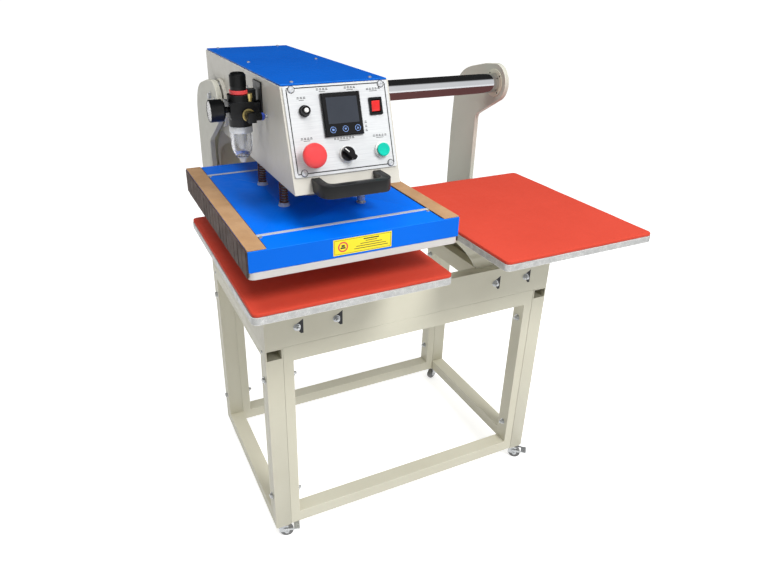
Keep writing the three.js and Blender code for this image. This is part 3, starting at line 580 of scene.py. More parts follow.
# %% A softened copy of a CAD node
def merged(node):
    """The node's mesh in mm, with its triangles joined back into flat faces."""
    shape = bmesh.new()
    shape.from_mesh(frame["nodes"][node].data)
    bmesh.ops.scale(shape, vec=(1 / MM,) * 3, verts=shape.verts)
    bmesh.ops.remove_doubles(shape, verts=shape.verts, dist=0.003)
    bmesh.ops.dissolve_limit(shape, angle_limit=math.radians(0.5), verts=shape.verts,
                             edges=shape.edges)
    return shape


def softened(node, name, materials, width, steps=2, paint=None):
    shape = soften(merged(node), width, steps)
    if paint:
        for face in shape.faces:
            face.material_index = paint(face.calc_center_median())
    return stand_in(node, name, shape, materials, merge=1e-5)


print("nodes in the frame:", len(frame["nodes"]))

# %% [markdown]
# ## Parts that repeat
# Screw heads, springs, ribs and dial marks are the same small shape many times over,
# which is what Geometry Nodes are for. `fasteners` stands one drawn head on each
# point of a mesh, along the point's own axis and with a seeded turn; `coils` winds a
# spring on each point; `ring_of_bars` sets bars round an arc.

# %% A small kit for building trees
def geometry_tree(name, inputs):
    tree = bpy.data.node_groups.new(name, "GeometryNodeTree")
    for label, kind, value in [("Geometry", "Geometry", None)] + inputs:
        socket = tree.interface.new_socket(label, in_out="INPUT", socket_type="NodeSocket" + kind)
        if value is not None:
            socket.default_value = value
    tree.interface.new_socket("Geometry", in_out="OUTPUT", socket_type="NodeSocketGeometry")
    return tree, tree.nodes.new("NodeGroupInput").outputs, tree.nodes.new(
        "NodeGroupOutput").inputs[0]


def realised(tree, geometry, material, out):
    solid = node(tree, "GeometryNodeRealizeInstances", {0: geometry}).outputs[0]
    tree.links.new(node(tree, "GeometryNodeSetMaterial",
                        {"Geometry": solid, "Material": material}).outputs[0], out)


def grown(name, tree, points, values, place=None, axes=None, body=None, slot=None, smooth=True):
    """Runs a tree on a mesh of points (mm) and keeps the result as one plain mesh on a body."""
    mesh = bpy.data.meshes.new(name)
    mesh.from_pydata([tuple(Vector(p) * MM) for p in points], [], [])
    if axes:
        mesh.attributes.new("axis", "FLOAT_VECTOR", "POINT").data.foreach_set(
            "vector", [c for a in axes for c in a])
    seedbed = link_object(name + "_points", mesh)
    modifier = seedbed.modifiers.new("tree", "NODES")
    modifier.node_group = tree
    for item in tree.interface.items_tree:
        if item.item_type == "SOCKET" and item.in_out == "INPUT" and item.name in values:
            modifier[item.identifier] = values[item.name]
    bpy.context.view_layer.update()
    plain = bpy.data.meshes.new_from_object(
        seedbed.evaluated_get(bpy.context.evaluated_depsgraph_get()))
    seedbed.modifiers.remove(modifier)
    bpy.data.objects.remove(seedbed)
    plain.name = name
    if place:
        plain.transform(Matrix.Scale(MM, 4) @ place @ Matrix.Scale(1 / MM, 4))
    if smooth:
        plain.shade_smooth()
        plain.set_sharp_from_angle(angle=ANGLE_FLAT)
    piece = link_object(name, plain)
    if body:
        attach(piece, body)
    return piece


print("tree helpers:", geometry_tree.__name__, realised.__name__, grown.__name__)

# %% Tree: fasteners
FASTENERS, given, out = geometry_tree("fasteners",
                                      [("Head", "Object", None), ("Turn Seed", "Int", 1),
                                       ("Material", "Material", None)])
head = node(FASTENERS, "GeometryNodeObjectInfo", {"Object": given["Head"]}).outputs["Geometry"]
axis = node(FASTENERS, "GeometryNodeInputNamedAttribute", {"Name": "axis"},
            data_type="FLOAT_VECTOR").outputs["Attribute"]
stand_up = node(FASTENERS, "FunctionNodeAlignRotationToVector", {"Vector": axis},
                axis="Z").outputs["Rotation"]
spots = node(FASTENERS, "GeometryNodeInstanceOnPoints",
             {"Points": given["Geometry"], "Instance": head, "Rotation": stand_up}).outputs[0]
spin = node(FASTENERS, "FunctionNodeRandomValue", {"Seed": given["Turn Seed"]}, data_type="FLOAT")
spin.inputs[2].default_value, spin.inputs[3].default_value = 0, 360
turn = node(FASTENERS, "ShaderNodeMath", {0: spin.outputs[1], 1: math.pi / 180},
            operation="MULTIPLY").outputs[0]
turn = node(FASTENERS, "ShaderNodeCombineXYZ", {"Z": turn}).outputs[0]
spots = node(FASTENERS, "GeometryNodeRotateInstances",
             {"Instances": spots, "Rotation": turn}).outputs[0]
realised(FASTENERS, spots, given["Material"], out)
print("fasteners nodes:", len(FASTENERS.nodes))

# %% Tree: coils
COILS, given, out = geometry_tree("coils",
                                  [("Turns", "Float", 9.0), ("Coil Radius", "Float", 0.0078),
                                   ("Wire Radius", "Float", 0.001), ("Free Length", "Float", 0.06),
                                   ("Material", "Material", None)])
wire = node(COILS, "GeometryNodeCurveSpiral",
            {"Resolution": 22, "Rotations": given["Turns"], "Start Radius": given["Coil Radius"],
             "End Radius": given["Coil Radius"], "Height": given["Free Length"]}).outputs[0]
section = node(COILS, "GeometryNodeCurvePrimitiveCircle",
               {"Resolution": 8, "Radius": given["Wire Radius"]}, mode="RADIUS").outputs["Curve"]
spring = node(COILS, "GeometryNodeCurveToMesh",
              {"Curve": wire, "Profile Curve": section, "Fill Caps": True}).outputs[0]
spots = node(COILS, "GeometryNodeInstanceOnPoints",
             {"Points": given["Geometry"], "Instance": spring}).outputs[0]
realised(COILS, spots, given["Material"], out)
print("coils nodes:", len(COILS.nodes))

# %% Tree: ring of bars
RING, given, out = geometry_tree("ring_of_bars",
                                 [("Count", "Int", 24), ("Radius", "Float", 0.01),
                                  ("From", "Float", 0.0), ("Sweep", "Float", 6.0),
                                  ("Bar", "Vector", (0.001, 0.001, 0.01)),
                                  ("Material", "Material", None)])
arc = node(RING, "GeometryNodeCurveArc",
           {"Resolution": given["Count"], "Radius": given["Radius"], "Start Angle": given["From"],
            "Sweep Angle": given["Sweep"]}, mode="RADIUS").outputs["Curve"]
points = node(RING, "GeometryNodeCurveToPoints", {"Curve": arc}, mode="EVALUATED")
bar = node(RING, "GeometryNodeMeshCube", {"Size": given["Bar"]}).outputs["Mesh"]
spoke = node(RING, "FunctionNodeAlignRotationToVector",
             {"Vector": node(RING, "GeometryNodeInputPosition").outputs[0]},
             axis="X").outputs["Rotation"]
spots = node(RING, "GeometryNodeInstanceOnPoints",
             {"Points": points.outputs["Points"], "Instance": bar, "Rotation": spoke}).outputs[0]
realised(RING, spots, given["Material"], out)


def ring_of_bars(name, count, radius, bar, material, place, body, slot, start=0.0, sweep=None):
    sweep = math.tau * (count - 1) / count if sweep is None else sweep
    return grown(name, RING, [(0, 0, 0)],
                 {"Count": count, "Radius": radius * MM, "From": start, "Sweep": sweep,
                  "Bar": [b * MM for b in bar], "Material": material}, place=place, body=body,
                 slot=slot, smooth=False)


print("ring of bars nodes:", len(RING.nodes))

# %% Heads to stand on the points
def drawn_head(name, shape):
    return keep(name, shape, [], None)


def hexagon(radius, low, high):
    return slice_of([(radius * math.cos(math.tau * k / 6), radius * math.sin(math.tau * k / 6))
                     for k in range(6)], low, high, 0.5, 1)


HEX_BOLT = drawn_head("hex_bolt",
                      join(turned([(0, 0), (9, 0), (9, 1.2), (0, 1.2)], 24),
                           hexagon(6.6, 1.25, 6.0)))
HEX_NUT = drawn_head("hex_nut",
                     join(turned([(0, 0), (8.5, 0), (8.5, 1.2), (0, 1.2)], 24),
                          hexagon(6.6, 1.25, 6.6),
                          turned([(0, 6.62), (3.9, 6.62), (3.9, 10.5), (3.2, 11.4), (0, 11.4)],
                                 18)))
THIN_BOLT = drawn_head("thin_bolt", hexagon(5.2, 0.05, 2.8))
DOME_SCREW = drawn_head("dome_screw",
                        turned([(0, 0.02), (5.4, 0.02), (5.3, 1.0), (4.4, 2.2), (2.6, 3.0),
                                (1.5, 3.2), (1.4, 1.9), (0, 1.9)], 24))
SMALL_SCREW = drawn_head("small_screw",
                         turned([(0, 0.02), (3.4, 0.02), (3.2, 1.0), (2.1, 1.9), (1.0, 2.1),
                                 (0.8, 1.3), (0, 1.3)], 20))
HEADS = (HEX_BOLT, HEX_NUT, THIN_BOLT, DOME_SCREW, SMALL_SCREW)


def fasteners(name, head, spots, body, seed, material=ZINC):
    """One piece with a head at each (point, axis) pair."""
    return grown(name, FASTENERS, [s[0] for s in spots],
                 {"Head": head, "Turn Seed": seed, "Material": material},
                 axes=[s[1] for s in spots], body=body, slot="zinc_steel")


print("trees:", [g.name for g in bpy.data.node_groups if g.bl_idname == "GeometryNodeTree"])

# %% [markdown]
# ## The stand and the deck
# Square steel tube, welded into four flat frames and bolted together, under a deck
# of folded sheet. The CAD shapes are right, so each becomes a softened copy in
# cream powder coat. Bolts and nuts are grown on points.

# %% Stand and deck
STAND_EDGE = 1.3
for node_name in ("front_frame", "rear_frame", "left_side_frame", "right_side_frame", "deck_frame"):
    softened(node_name, node_name + "_painted", CREAM, STAND_EDGE)
# The uprights' coat carries painted shade: it is the cream darkened.
for side in ("left", "right"):
    softened(side + "_pedestal", side + "_pedestal_painted", CREAM, 0.9)
    softened(side + "_upright", side + "_upright_painted", UPRIGHT_SHADED_CREAM, 1.6)
softened("rear_guide_rail", "rear_guide_rail_ground", ZINC, 0.8)
print("painted pieces: 10")

# %% Bolts of the stand
STAND_X = abs(span("left_side_frame")[0].x)
POST_LOW, POST_HIGH = span("front_frame")
DECK_LOW, DECK_HIGH = span("deck_frame")
FRONT_LEG_Y, REAR_LEG_Y = POST_LOW.y + 20, span("rear_frame")[1].y - 20
BOLT_HEIGHTS = (145, 497)
POST_INNER = POST_HIGH.x - 24.4
legs = [((side * STAND_X, y, z), (side, 0, 0)) for side in (-1, 1)
        for y in (FRONT_LEG_Y, REAR_LEG_Y) for z in BOLT_HEIGHTS]
fasteners("leg_bolts", HEX_BOLT, legs, "stand", 3)
nuts = [((side * POST_INNER, y, z), (-side, 0, 0)) for side in (-1, 1)
        for y in (FRONT_LEG_Y, REAR_LEG_Y) for z in BOLT_HEIGHTS]
fasteners("leg_nuts", HEX_NUT, nuts, "stand", 4)
CORNER_SCREW_Z = 569
corner = [((side * STAND_X, y, CORNER_SCREW_Z), (side, 0, 0)) for side in (-1, 1)
          for y in (FRONT_LEG_Y + 8, REAR_LEG_Y - 8)]
fasteners("corner_screws", SMALL_SCREW, corner, "stand", 5)
STATION_X = centre("left_pad").x
CLAMP_STEP, CLAMP_Z = 47, 630
clamp_x = [sign * STATION_X + step for sign in (-1, 1) for step in (-CLAMP_STEP, CLAMP_STEP)]
fasteners("deck_clamp_bolts", HEX_NUT, [((x, DECK_LOW.y, CLAMP_Z), (0, -1, 0)) for x in clamp_x],
          "stand", 6)
# Painted shadow: a flat dark wedge on the deck front beside each clamp bolt, where the bolt's shadow falls.
bolt_shadow_outline = [(0, -16), (22, -2), (6, 20), (0, 20)]
painted_shadow_wedges = [moved(slice_of(bolt_shadow_outline, -0.35, 0.12, 0),
               aim((x + 15, DECK_LOW.y, CLAMP_Z + 2), (0, -1, 0), 180)) for x in clamp_x]
keep("deck_clamp_slots", join(*painted_shadow_wedges), INK, "stand")
FOOT_X, FOOT_TOP = 336, DECK_HIGH.z + 12.3
foot = [((side * FOOT_X, y, FOOT_TOP), (0, 0, 1)) for side in (-1, 1) for y in (216, 340)]
fasteners("upright_foot_bolts", HEX_BOLT, foot, "stand", 7)
print("deck front at y =", round(DECK_LOW.y, 1))

# %% [markdown]
# ## The lower platens
# Each station is a thick cast aluminium plate whose sawn edge sparkles, with a
# hand-cut mat of silicone foam on it. A mat has rolled top edges and never a
# perfectly straight rim, so it is drawn as rings that follow a slow wave.

# %% Platen plates
for side in ("left", "right"):
    softened(side + "_platen_plate", side + "_platen_cast", CAST_PLATE, 1.2)
plate = span("left_platen_plate")
print("plate thickness:", round(plate[1].z - plate[0].z, 1), "mm")

# %% Silicone mats
def silicone_mat(node_name, name, phase):
    low, high = span(node_name)
    corner_radius = 11
    outline = rounded_outline(low.x, high.x, low.y, high.y, corner_radius, 8)
    fine = []
    for (ax, ay), (bx, by) in zip(outline, outline[1:] + outline[:1]):
        cuts = max(1, round(math.hypot(bx - ax, by - ay) / 10))
        fine += [(ax + (bx - ax) * k / cuts, ay + (by - ay) * k / cuts) for k in range(cuts)]
    middle = Vector(((low.x + high.x) / 2, (low.y + high.y) / 2))
    half = Vector(((high.x - low.x) / 2, (high.y - low.y) / 2))
    shape = bmesh.new()
    levels = [(0.5, low.z + 0.02), (0.1, low.z + 0.6), (0.0, high.z - 2.2), (0.25, high.z - 1.1),
              (0.9, high.z - 0.35), (2.0, high.z - 0.04), (9.0, high.z), (60.0, high.z)]
    rings = []
    for inset, z in levels:
        ring = []
        for x, y in fine:
            wave = 0.22 * math.sin(x * 0.045 + y * 0.031 + phase)
            wave += 0.13 * math.sin(x * 0.11 - y * 0.083 + 2 * phase)
            cut = inset + 0.35 + wave
            shrink = Vector(((x - middle.x) * (1 - cut / half.x),
                             (y - middle.y) * (1 - cut / half.y)))
            drop = 0.12 * (1 + math.sin(x * 0.03 + y * 0.05 + phase)) if z > low.z + 1 else 0
            ring.append(shape.verts.new((middle.x + shrink.x, middle.y + shrink.y, z - drop)))
        rings.append(ring)
    for a, b in zip(rings, rings[1:]):
        for k in range(len(fine)):
            n = (k + 1) % len(fine)
            shape.faces.new((a[k], a[n], b[n], b[k]))
    shape.faces.new(rings[0][::-1])
    shape.faces.new(rings[-1])
    stand_in(node_name, name, shape, SILICONE)


silicone_mat("left_pad", "left_silicone_mat", 0.4)
silicone_mat("right_pad", "right_silicone_mat", 2.1)
print("mat thickness in mm:", round(span("left_pad")[1].z - span("left_pad")[0].z, 1))

# %% [markdown]
# ## The guide shaft and the rear arm
# The head hangs on one thick chromed shaft between two flat uprights and is steadied
# by an arm that reaches down to a rail. The shaft is a turned bar with chamfered
# ends, held at each upright by a ring and screws.

# %% Shaft
def round_spots(radius, degrees):
    return [(radius * math.cos(math.radians(d)), radius * math.sin(math.radians(d)))
            for d in degrees]


SHAFT_LOW, SHAFT_HIGH = span("guide_shaft")
SHAFT_Y, SHAFT_Z = centre("guide_shaft").yz
SHAFT_R, SHAFT_LONG = (SHAFT_HIGH.z - SHAFT_LOW.z) / 2, SHAFT_HIGH.x - SHAFT_LOW.x
bar = turned([(0, 0), (SHAFT_R - 1, 0), (SHAFT_R, 1), (SHAFT_R, SHAFT_LONG - 1),
              (SHAFT_R - 1, SHAFT_LONG), (0, SHAFT_LONG)], 96)
stand_in("guide_shaft", "chromed_guide_shaft",
         moved(bar, aim((SHAFT_LOW.x, SHAFT_Y, SHAFT_Z), (1, 0, 0))), CHROME)

for side, name in ((-1, "left"), (1, "right")):
    outside = [((side * STAND_X, SHAFT_Y + y, SHAFT_Z + z), (side, 0, 0))
               for y, z in round_spots(22, (40, 160, 280))]
    fasteners(name + "_shaft_screws", HEX_BOLT, outside, "stand", 11 + side)
    collar = turned([(SHAFT_R + r, h)
                     for r, h in ((0.3, 0.02), (11, 0.02), (11, 0.9), (10.4, 1.3), (0.3, 1.3),
                                  (0.3, 0.02))], 56)
    dots = [painted(moved(turned([(0, 1.2), (2.3, 1.2), (2.3, 1.6), (0, 1.6)], 16),
                          Matrix.Translation((x, y, 0))), 1)
            for x, y in round_spots(SHAFT_R + 5.6, (40, 130, 220, 310))]
    inner = (side * SHAFT_HIGH.x, SHAFT_Y, SHAFT_Z)
    keep(name + "_shaft_collar", moved(join(collar, *dots), aim(inner, (-side, 0, 0))),
         [CREAM, INK], "stand")
print("shaft diameter:", round(2 * SHAFT_R), "mm")


# %% A card that only reflections see
# A dim warm-red glowing card hidden under the shaft, seen only by reflections, gives the chrome the lower of its
# two bands: a painted reflection.
CARD_BELOW, CARD_FRONT, CARD_BACK = 62, 190, 120
card = stage_sheet("reflected_card", (-120 * MM, 620 * MM),
                   ((SHAFT_Y - CARD_FRONT) * MM, (SHAFT_Y + CARD_BACK) * MM),
                   (SHAFT_Z - CARD_BELOW) * MM, (0, 0, 0, 1), srgb(112, 74, 72), 1.0)
card.visible_camera = card.visible_diffuse = card.visible_shadow = card.visible_transmission = False
print("card", CARD_BELOW, "mm under the shaft's axis")

# %% Bearing housing, arm and shoe
softened("bearing_housing", "bearing_housing_painted", SHADED_CREAM_COAT, 1.0)
softened("carriage_arm", "carriage_arm_painted", CREAM, 1.2)
softened("guide_shoe", "guide_shoe_moulded", BLACK, 0.8)
BEARING_LOW, BEARING_HIGH = span("bearing_housing")
for side in (-1, 1):
    face = BEARING_LOW.x if side < 0 else BEARING_HIGH.x
    ring = [((face, SHAFT_Y + y, SHAFT_Z + z), (side, 0, 0))
            for y, z in round_spots(43.5, range(45, 405, 60))]
    fasteners(("left", "right")[side > 0] + "_bearing_bolts", THIN_BOLT, ring, "head", 21 + side)
print("bearing flange at x =", round(BEARING_LOW.x, 1))

# %% [markdown]
# ## The head
# A folded steel box with a sloping face, a blue lid screwed down with six screws and
# the working parts inside. Shell and lid are softened copies.

# %% Shell, lid and hidden cylinder
# The shell's coat is the cream with painted shade.
softened("head_shell", "head_shell_painted", SHADED_CREAM_COAT, 1.2)
softened("head_top_cover", "head_lid", DEEP_BLUE, 0.8)
softened("air_cylinder", "air_cylinder_body", ZINC, 0.8)
LID_LOW, LID_HIGH = span("head_top_cover")
lid_screws = [((HEAD_X + x, LID_LOW.y + y, LID_HIGH.z), (0, 0, 1)) for x in (-73, 73)
              for y in (16, 276, 534)]
fasteners("lid_screws", SMALL_SCREW, lid_screws, "head", 31)
print("lid:", [round(v) for v in LID_HIGH - LID_LOW], "mm")

# %% Handle
softened("handle", "moulded_handle", BLACK, 1.5, steps=3)
print("handle:", [round(v) for v in span("handle")[1] - span("handle")[0]], "mm")

# %% [markdown]
# ## The control panel
# Everything on the sloping face is drawn flat, with X across, Y up the slope and Z
# out of it, and one matrix then leans it back into place.

# %% The panel's own frame
PANEL_LEAN = math.atan2(62, 172)
PANEL_FRAME = Matrix((
    (1, 0, 0, HEAD_X),
    (0, math.sin(PANEL_LEAN), -math.cos(PANEL_LEAN), HEAD_LOW.y),
    (0, math.cos(PANEL_LEAN), math.sin(PANEL_LEAN), HEAD_LOW.z),
    (0, 0, 0, 1)))
PANEL_TOP = 3.0


PANEL_OUT = tuple(PANEL_FRAME.to_3x3() @ Vector((0, 0, 1)))


def on_panel(x, y, z=PANEL_TOP):
    return PANEL_FRAME @ Matrix.Translation((x, y, z))


softened("control_panel", "brushed_panel", PANEL, 0.4)
print("panel leans back", round(math.degrees(PANEL_LEAN), 1), "degrees")

# %% Printed border and caption dashes
INK_RISE = 0.14


def printed(x0, x1, y0, y1):
    return block((x0, x1), (y0, y1), (PANEL_TOP - 0.02, PANEL_TOP + INK_RISE), 0)


EDGE_X, EDGE_LOW, EDGE_HIGH, LINE = 90.5, 34.4, 175.2, 1.7
border = [printed(-EDGE_X, EDGE_X, y - LINE / 2, y + LINE / 2) for y in (EDGE_LOW, EDGE_HIGH)]
border += [printed(x - LINE / 2, x + LINE / 2, EDGE_LOW + LINE, EDGE_HIGH - LINE)
           for x in (-EDGE_X, EDGE_X)]
keep("panel_border", moved(join(*border), PANEL_FRAME), INK, "head")
CAPTIONS = ((-66, 157, 3), (-27, 169, 4), (24, 169, 4), (68, 164, 5), (-66, 90, 4), (2, 85, 7),
            (70, 84, 5))
dashes = []
for x, y, count in CAPTIONS:
    for k in range(count):
        left = x + (k - count / 2) * 5.6
        dashes += [printed(left, left + 4.2, y + 0.4, y + 1.4),
                   printed(left + 0.5, left + 3.7, y + 2.4, y + 3.4)]
    dashes.append(printed(x - count * 1.6, x + count * 1.3, y - 2.3, y - 1.5))
for k in range(3):
    dashes += [printed(43.5, 47.5, 95 + 7 * k, 96.0 + 7 * k),
               printed(44, 47, 97.5 + 7 * k, 98.5 + 7 * k)]
keep("panel_caption_dashes", moved(join(*dashes), PANEL_FRAME), INK, "head")
corner_spots = [(PANEL_FRAME @ Vector((x, y, PANEL_TOP)), PANEL_OUT)
                for x, y in ((-82, 173.5), (82.5, 173), (-79, 35.5), (84, 36))]
fasteners("panel_screws", DOME_SCREW, corner_spots, "head", 41, STRIP)
rims = [moved(turned([(5.2, 0.01), (6.3, 0.01), (6.3, 0.5), (5.2, 0.5), (5.2, 0.01)], 32),
              aim(at, axis)) for at, axis in corner_spots]
keep("panel_screw_washers", join(*rims), INK, "head")
print("caption groups:", len(CAPTIONS))

# %% Temperature and time controller
CTRL_X, CTRL_Y, CTRL_W, CTRL_H = 2.5, 127, 36, 36.5


def controller():
    rim = join(
        block((-CTRL_W, CTRL_W), (-CTRL_H, CTRL_H), (0.3, 4.6), 0.5),
        block((-CTRL_W + 1.6, CTRL_W - 1.6), (-CTRL_H + 1.6, CTRL_H - 1.6), (4.4, 7.0), 1.3, 3))
    face = painted(block((-28.5, 28.5), (-15.5, 28.5), (6.6, 7.12), 0.2), 1)
    icons = []
    for x in (-22, 1, 24):
        ring = turned([(4.5, 6.7), (5.4, 6.7), (5.4, 7.2), (4.5, 7.2), (4.5, 6.7)], 28)
        icons.append(painted(moved(ring, Matrix.Translation((x, -25.5, 0))), 2))
    marks = [block((-24, -20), (-27.4, -23.6), (6.8, 7.22), 0)]
    for x, up in ((1, -1), (24, 1)):
        marks.append(slice_of([(x - 2.4, -25.5 - 1.6 * up), (x + 2.4, -25.5 - 1.6 * up),
                               (x, -25.5 + 2.2 * up)][::up], 6.8, 7.22, 0))
    return join(rim, face, *icons, *[painted(m, 2) for m in marks])


stand_in("temperature_controller", "controller_display",
         moved(controller(), on_panel(CTRL_X, CTRL_Y)), [GLOSS_BLACK, SCREEN, ICON])
print("controller:", 2 * CTRL_W, "x", 2 * CTRL_H, "mm")

# %% Rocker switch
softened("rocker_bezel", "rocker_frame", GLOSS_BLACK, 0.5)
softened("power_rocker", "rocker_paddle", ROCKER_RED, 0.7, steps=3)
print("rocker frame:", round(span("rocker_bezel")[1].x - span("rocker_bezel")[0].x, 1), "mm wide")

# %% Sounder cap
cap = turned([(0, 0.1), (9.4, 0.1), (9.8, 0.8), (9.8, 3.0), (8.4, 3.6), (8.0, 9.5), (7.4, 11.6),
              (6.2, 12.6), (4.6, 12.7), (4.2, 11.2), (0, 11.2)], 40)
# Painted highlight: the white dome on the cap's top stands where the glare on the black cap falls.
plug = painted(turned([(0, 11.0), (4.0, 11.0), (3.8, 12.4), (2.6, 13.2), (0, 13.5)], 28), 1)
keep("sounder_cap", moved(join(cap, plug), on_panel(-64, 137)), [GLOSS_BLACK, WHITE], "head")
ring_of_bars("sounder_cap_ribs", 20, 8.2, (0.9, 0.7, 5.6), GLOSS_BLACK,
             on_panel(-64, 137) @ Matrix.Translation((0, 0, 6.6)), "head", "black_plastic")
print("sounder cap ribs: 20")

# %% Emergency stop
softened("estop_collar", "estop_collar_moulded", WHITE, 0.6)
ESTOP_AT = (-64, 61.5)
dome = turned([(0, 14.4), (9.4, 14.4), (9.6, 15), (9.6, 20.4), (18.6, 20.4), (20.2, 21.0),
               (20.9, 22.4), (21, 25.4), (20.2, 28.0), (18, 30.2), (14, 31.9), (9, 32.7),
               (4, 32.98), (0, 33)], 56)
stand_in("estop_button", "estop_mushroom", moved(dome, on_panel(*ESTOP_AT, 0)), RED)
print("emergency stop at", ESTOP_AT, "on the panel")

# %% Selector
softened("selector_ring", "selector_ring_moulded", WHITE, 0.8)
SELECTOR_AT = (2, 59.5)
lever = slice_of(rounded_outline(-4.6, 4.6, -13.6, 13.6, 2.2, 4), 12.8, 21.6, 1.3, 3)
base = turned([(0, 8.5), (12.4, 8.5), (12.5, 9.2), (12.3, 12.2), (11.4, 13.3), (0, 13.3)], 44)
pointer = painted(block((-0.8, 0.8), (3.0, 12.6), (21.4, 21.85), 0.1), 1)
knob = join(base, moved(join(lever, pointer), Matrix.Rotation(math.radians(45), 4, "Z")))
stand_in("selector_knob", "selector_lever", moved(knob, on_panel(*SELECTOR_AT, 0)),
         [GLOSS_BLACK, WHITE])
print("selector at", SELECTOR_AT, "on the panel")

# %% Start button
softened("start_ring", "start_ring_moulded", WHITE, 0.8)
START_AT = (69, 60)
button = turned([(0, 4.0), (10, 4.0), (10, 12.3), (11.6, 12.5), (11.6, 13.5), (11.0, 14.2),
                 (9.8, 14.5), (8.8, 14.1), (0, 14.0)], 44)
stand_in("start_button", "start_button_cap", moved(button, on_panel(*START_AT, 0)), GREEN)
print("start button at", START_AT, "on the panel")

# %% [markdown]
# ## The upper platen
# The heating plate has an ivory coated edge under a blue sheet cover. Board strips
# lie along both sides of the cover, lagging fills the side walls, two bright strips
# cross the top, and four springs on studs lift it all back.

# %% Heating plate and cover
COVER_LOW, COVER_HIGH = span("platen_cover")
STRIP_LOW, STRIP_HIGH = span("left_edge_strip")
COVER_TOP = STRIP_LOW.z - 0.3
softened("heating_plate", "heating_plate_coated", IVORY_PLATE, 1.6, steps=3)


def stud_or_sheet(middle):
    return 1 if middle.z > COVER_TOP + 1 else 0


softened("platen_cover", "platen_cover_painted", [BLUE, ZINC], 1.0, paint=stud_or_sheet)
softened("piston_rod", "piston_rod_ground", ZINC, 0.8)
print("cover top at z =", round(COVER_TOP, 1))

# %% Board strips and lagging
for side in ("left", "right"):
    softened(side + "_edge_strip", side + "_board_strip", BOARD, 0.3)
COVER_BOTTOM = COVER_LOW.z
PLATE_LOW, PLATE_HIGH = span("heating_plate")
LAG_LOW, LAG_HIGH = PLATE_LOW.z + 2.5, COVER_TOP - 0.4
lagging = []
for side, sheet, plate in ((-1, COVER_LOW.x, PLATE_LOW.x), (1, COVER_HIGH.x, PLATE_HIGH.x)):
    lagging.append(block((sheet, plate + side * 0.6), (COVER_LOW.y + 3, COVER_HIGH.y - 3),
                         (COVER_BOTTOM + 0.4, LAG_HIGH), 0.3))
    lagging.append(block((plate + side * 0.02, plate + side * 0.6),
                         (COVER_LOW.y + 3, COVER_HIGH.y - 3), (LAG_LOW, COVER_BOTTOM + 0.4), 0))
keep("side_lagging", join(*lagging), LAGGING, "press")

LATHS, given, out = geometry_tree("row_of_laths",
                                  [("Count", "Int", 20), ("Pitch", "Float", 0.025),
                                   ("Lath", "Vector", (0.001, 0.02, 0.03)), ("Seed", "Int", 3),
                                   ("Material", "Material", None)])
step = node(LATHS, "ShaderNodeCombineXYZ", {"Y": given["Pitch"]}).outputs[0]
row = node(LATHS, "GeometryNodeMeshLine", {"Count": given["Count"], "Offset": step},
           mode="OFFSET").outputs[0]
lath = node(LATHS, "GeometryNodeMeshCube", {"Size": given["Lath"]}).outputs["Mesh"]
size = node(LATHS, "FunctionNodeRandomValue", {"Seed": given["Seed"]}, data_type="FLOAT_VECTOR")
size.inputs[0].default_value, size.inputs[1].default_value = (0.55, 0.86, 0.97), (1.0, 0.97, 1.0)
spots = node(LATHS, "GeometryNodeInstanceOnPoints",
             {"Points": row, "Instance": lath, "Scale": size.outputs[0]}).outputs[0]
realised(LATHS, spots, given["Material"], out)
LATH_PITCH = 26.0
lath_count = int((COVER_HIGH.y - COVER_LOW.y - 10) / LATH_PITCH)
for side, name in ((-1, "left"), (1, "right")):
    face = PLATE_LOW.x if side < 0 else PLATE_HIGH.x
    start = Matrix.Translation((face + side * 0.9, COVER_LOW.y + 18, (LAG_LOW + LAG_HIGH) / 2))
    grown(name + "_lagging_laths", LATHS, [(0, 0, 0)],
          {"Count": lath_count, "Pitch": LATH_PITCH * MM, "Seed": 5 + side,
           "Lath": [1.6 * MM, LATH_PITCH * MM, (LAG_HIGH - LAG_LOW) * MM], "Material": LAGGING},
          place=start, body="press", slot="tan_board", smooth=False)
print("laths on each side:", lath_count)

# %% Bright strips, painted shadow lines beside the board strips, and screws
strips, screws, joints = [], [], []
INNER_LEFT, INNER_RIGHT = STRIP_HIGH.x, span("right_edge_strip")[0].x
for y in (COVER_LOW.y + 60, COVER_LOW.y + 431):
    strips.append(block((INNER_LEFT + 0.4, INNER_RIGHT - 0.4), (y - 4, y + 4),
                        (COVER_TOP + 0.02, COVER_TOP + 1.5), 0.5))
    screws += [((x, y - 8, COVER_TOP), (0, 0, 1)) for x in (INNER_LEFT + 5, INNER_RIGHT - 5)]
# Painted shadow: a thin dark line on the cover along each raised board strip's inner edge. The list `joints` holds
# these painted shadow lines.
for x in (INNER_LEFT + 1.1, INNER_RIGHT - 1.1):
    joints.append(block((x - 0.8, x + 0.8), (COVER_LOW.y + 8, COVER_HIGH.y - 8),
                        (COVER_TOP + 0.01, COVER_TOP + 0.3), 0))
keep("cover_bright_strips", join(*strips), STRIP, "press")
keep("cover_dark_joints", join(*joints), INK, "press")
fasteners("cover_strip_screws", SMALL_SCREW, screws, "press", 51)
print("strips:", len(strips), "joints:", len(joints))

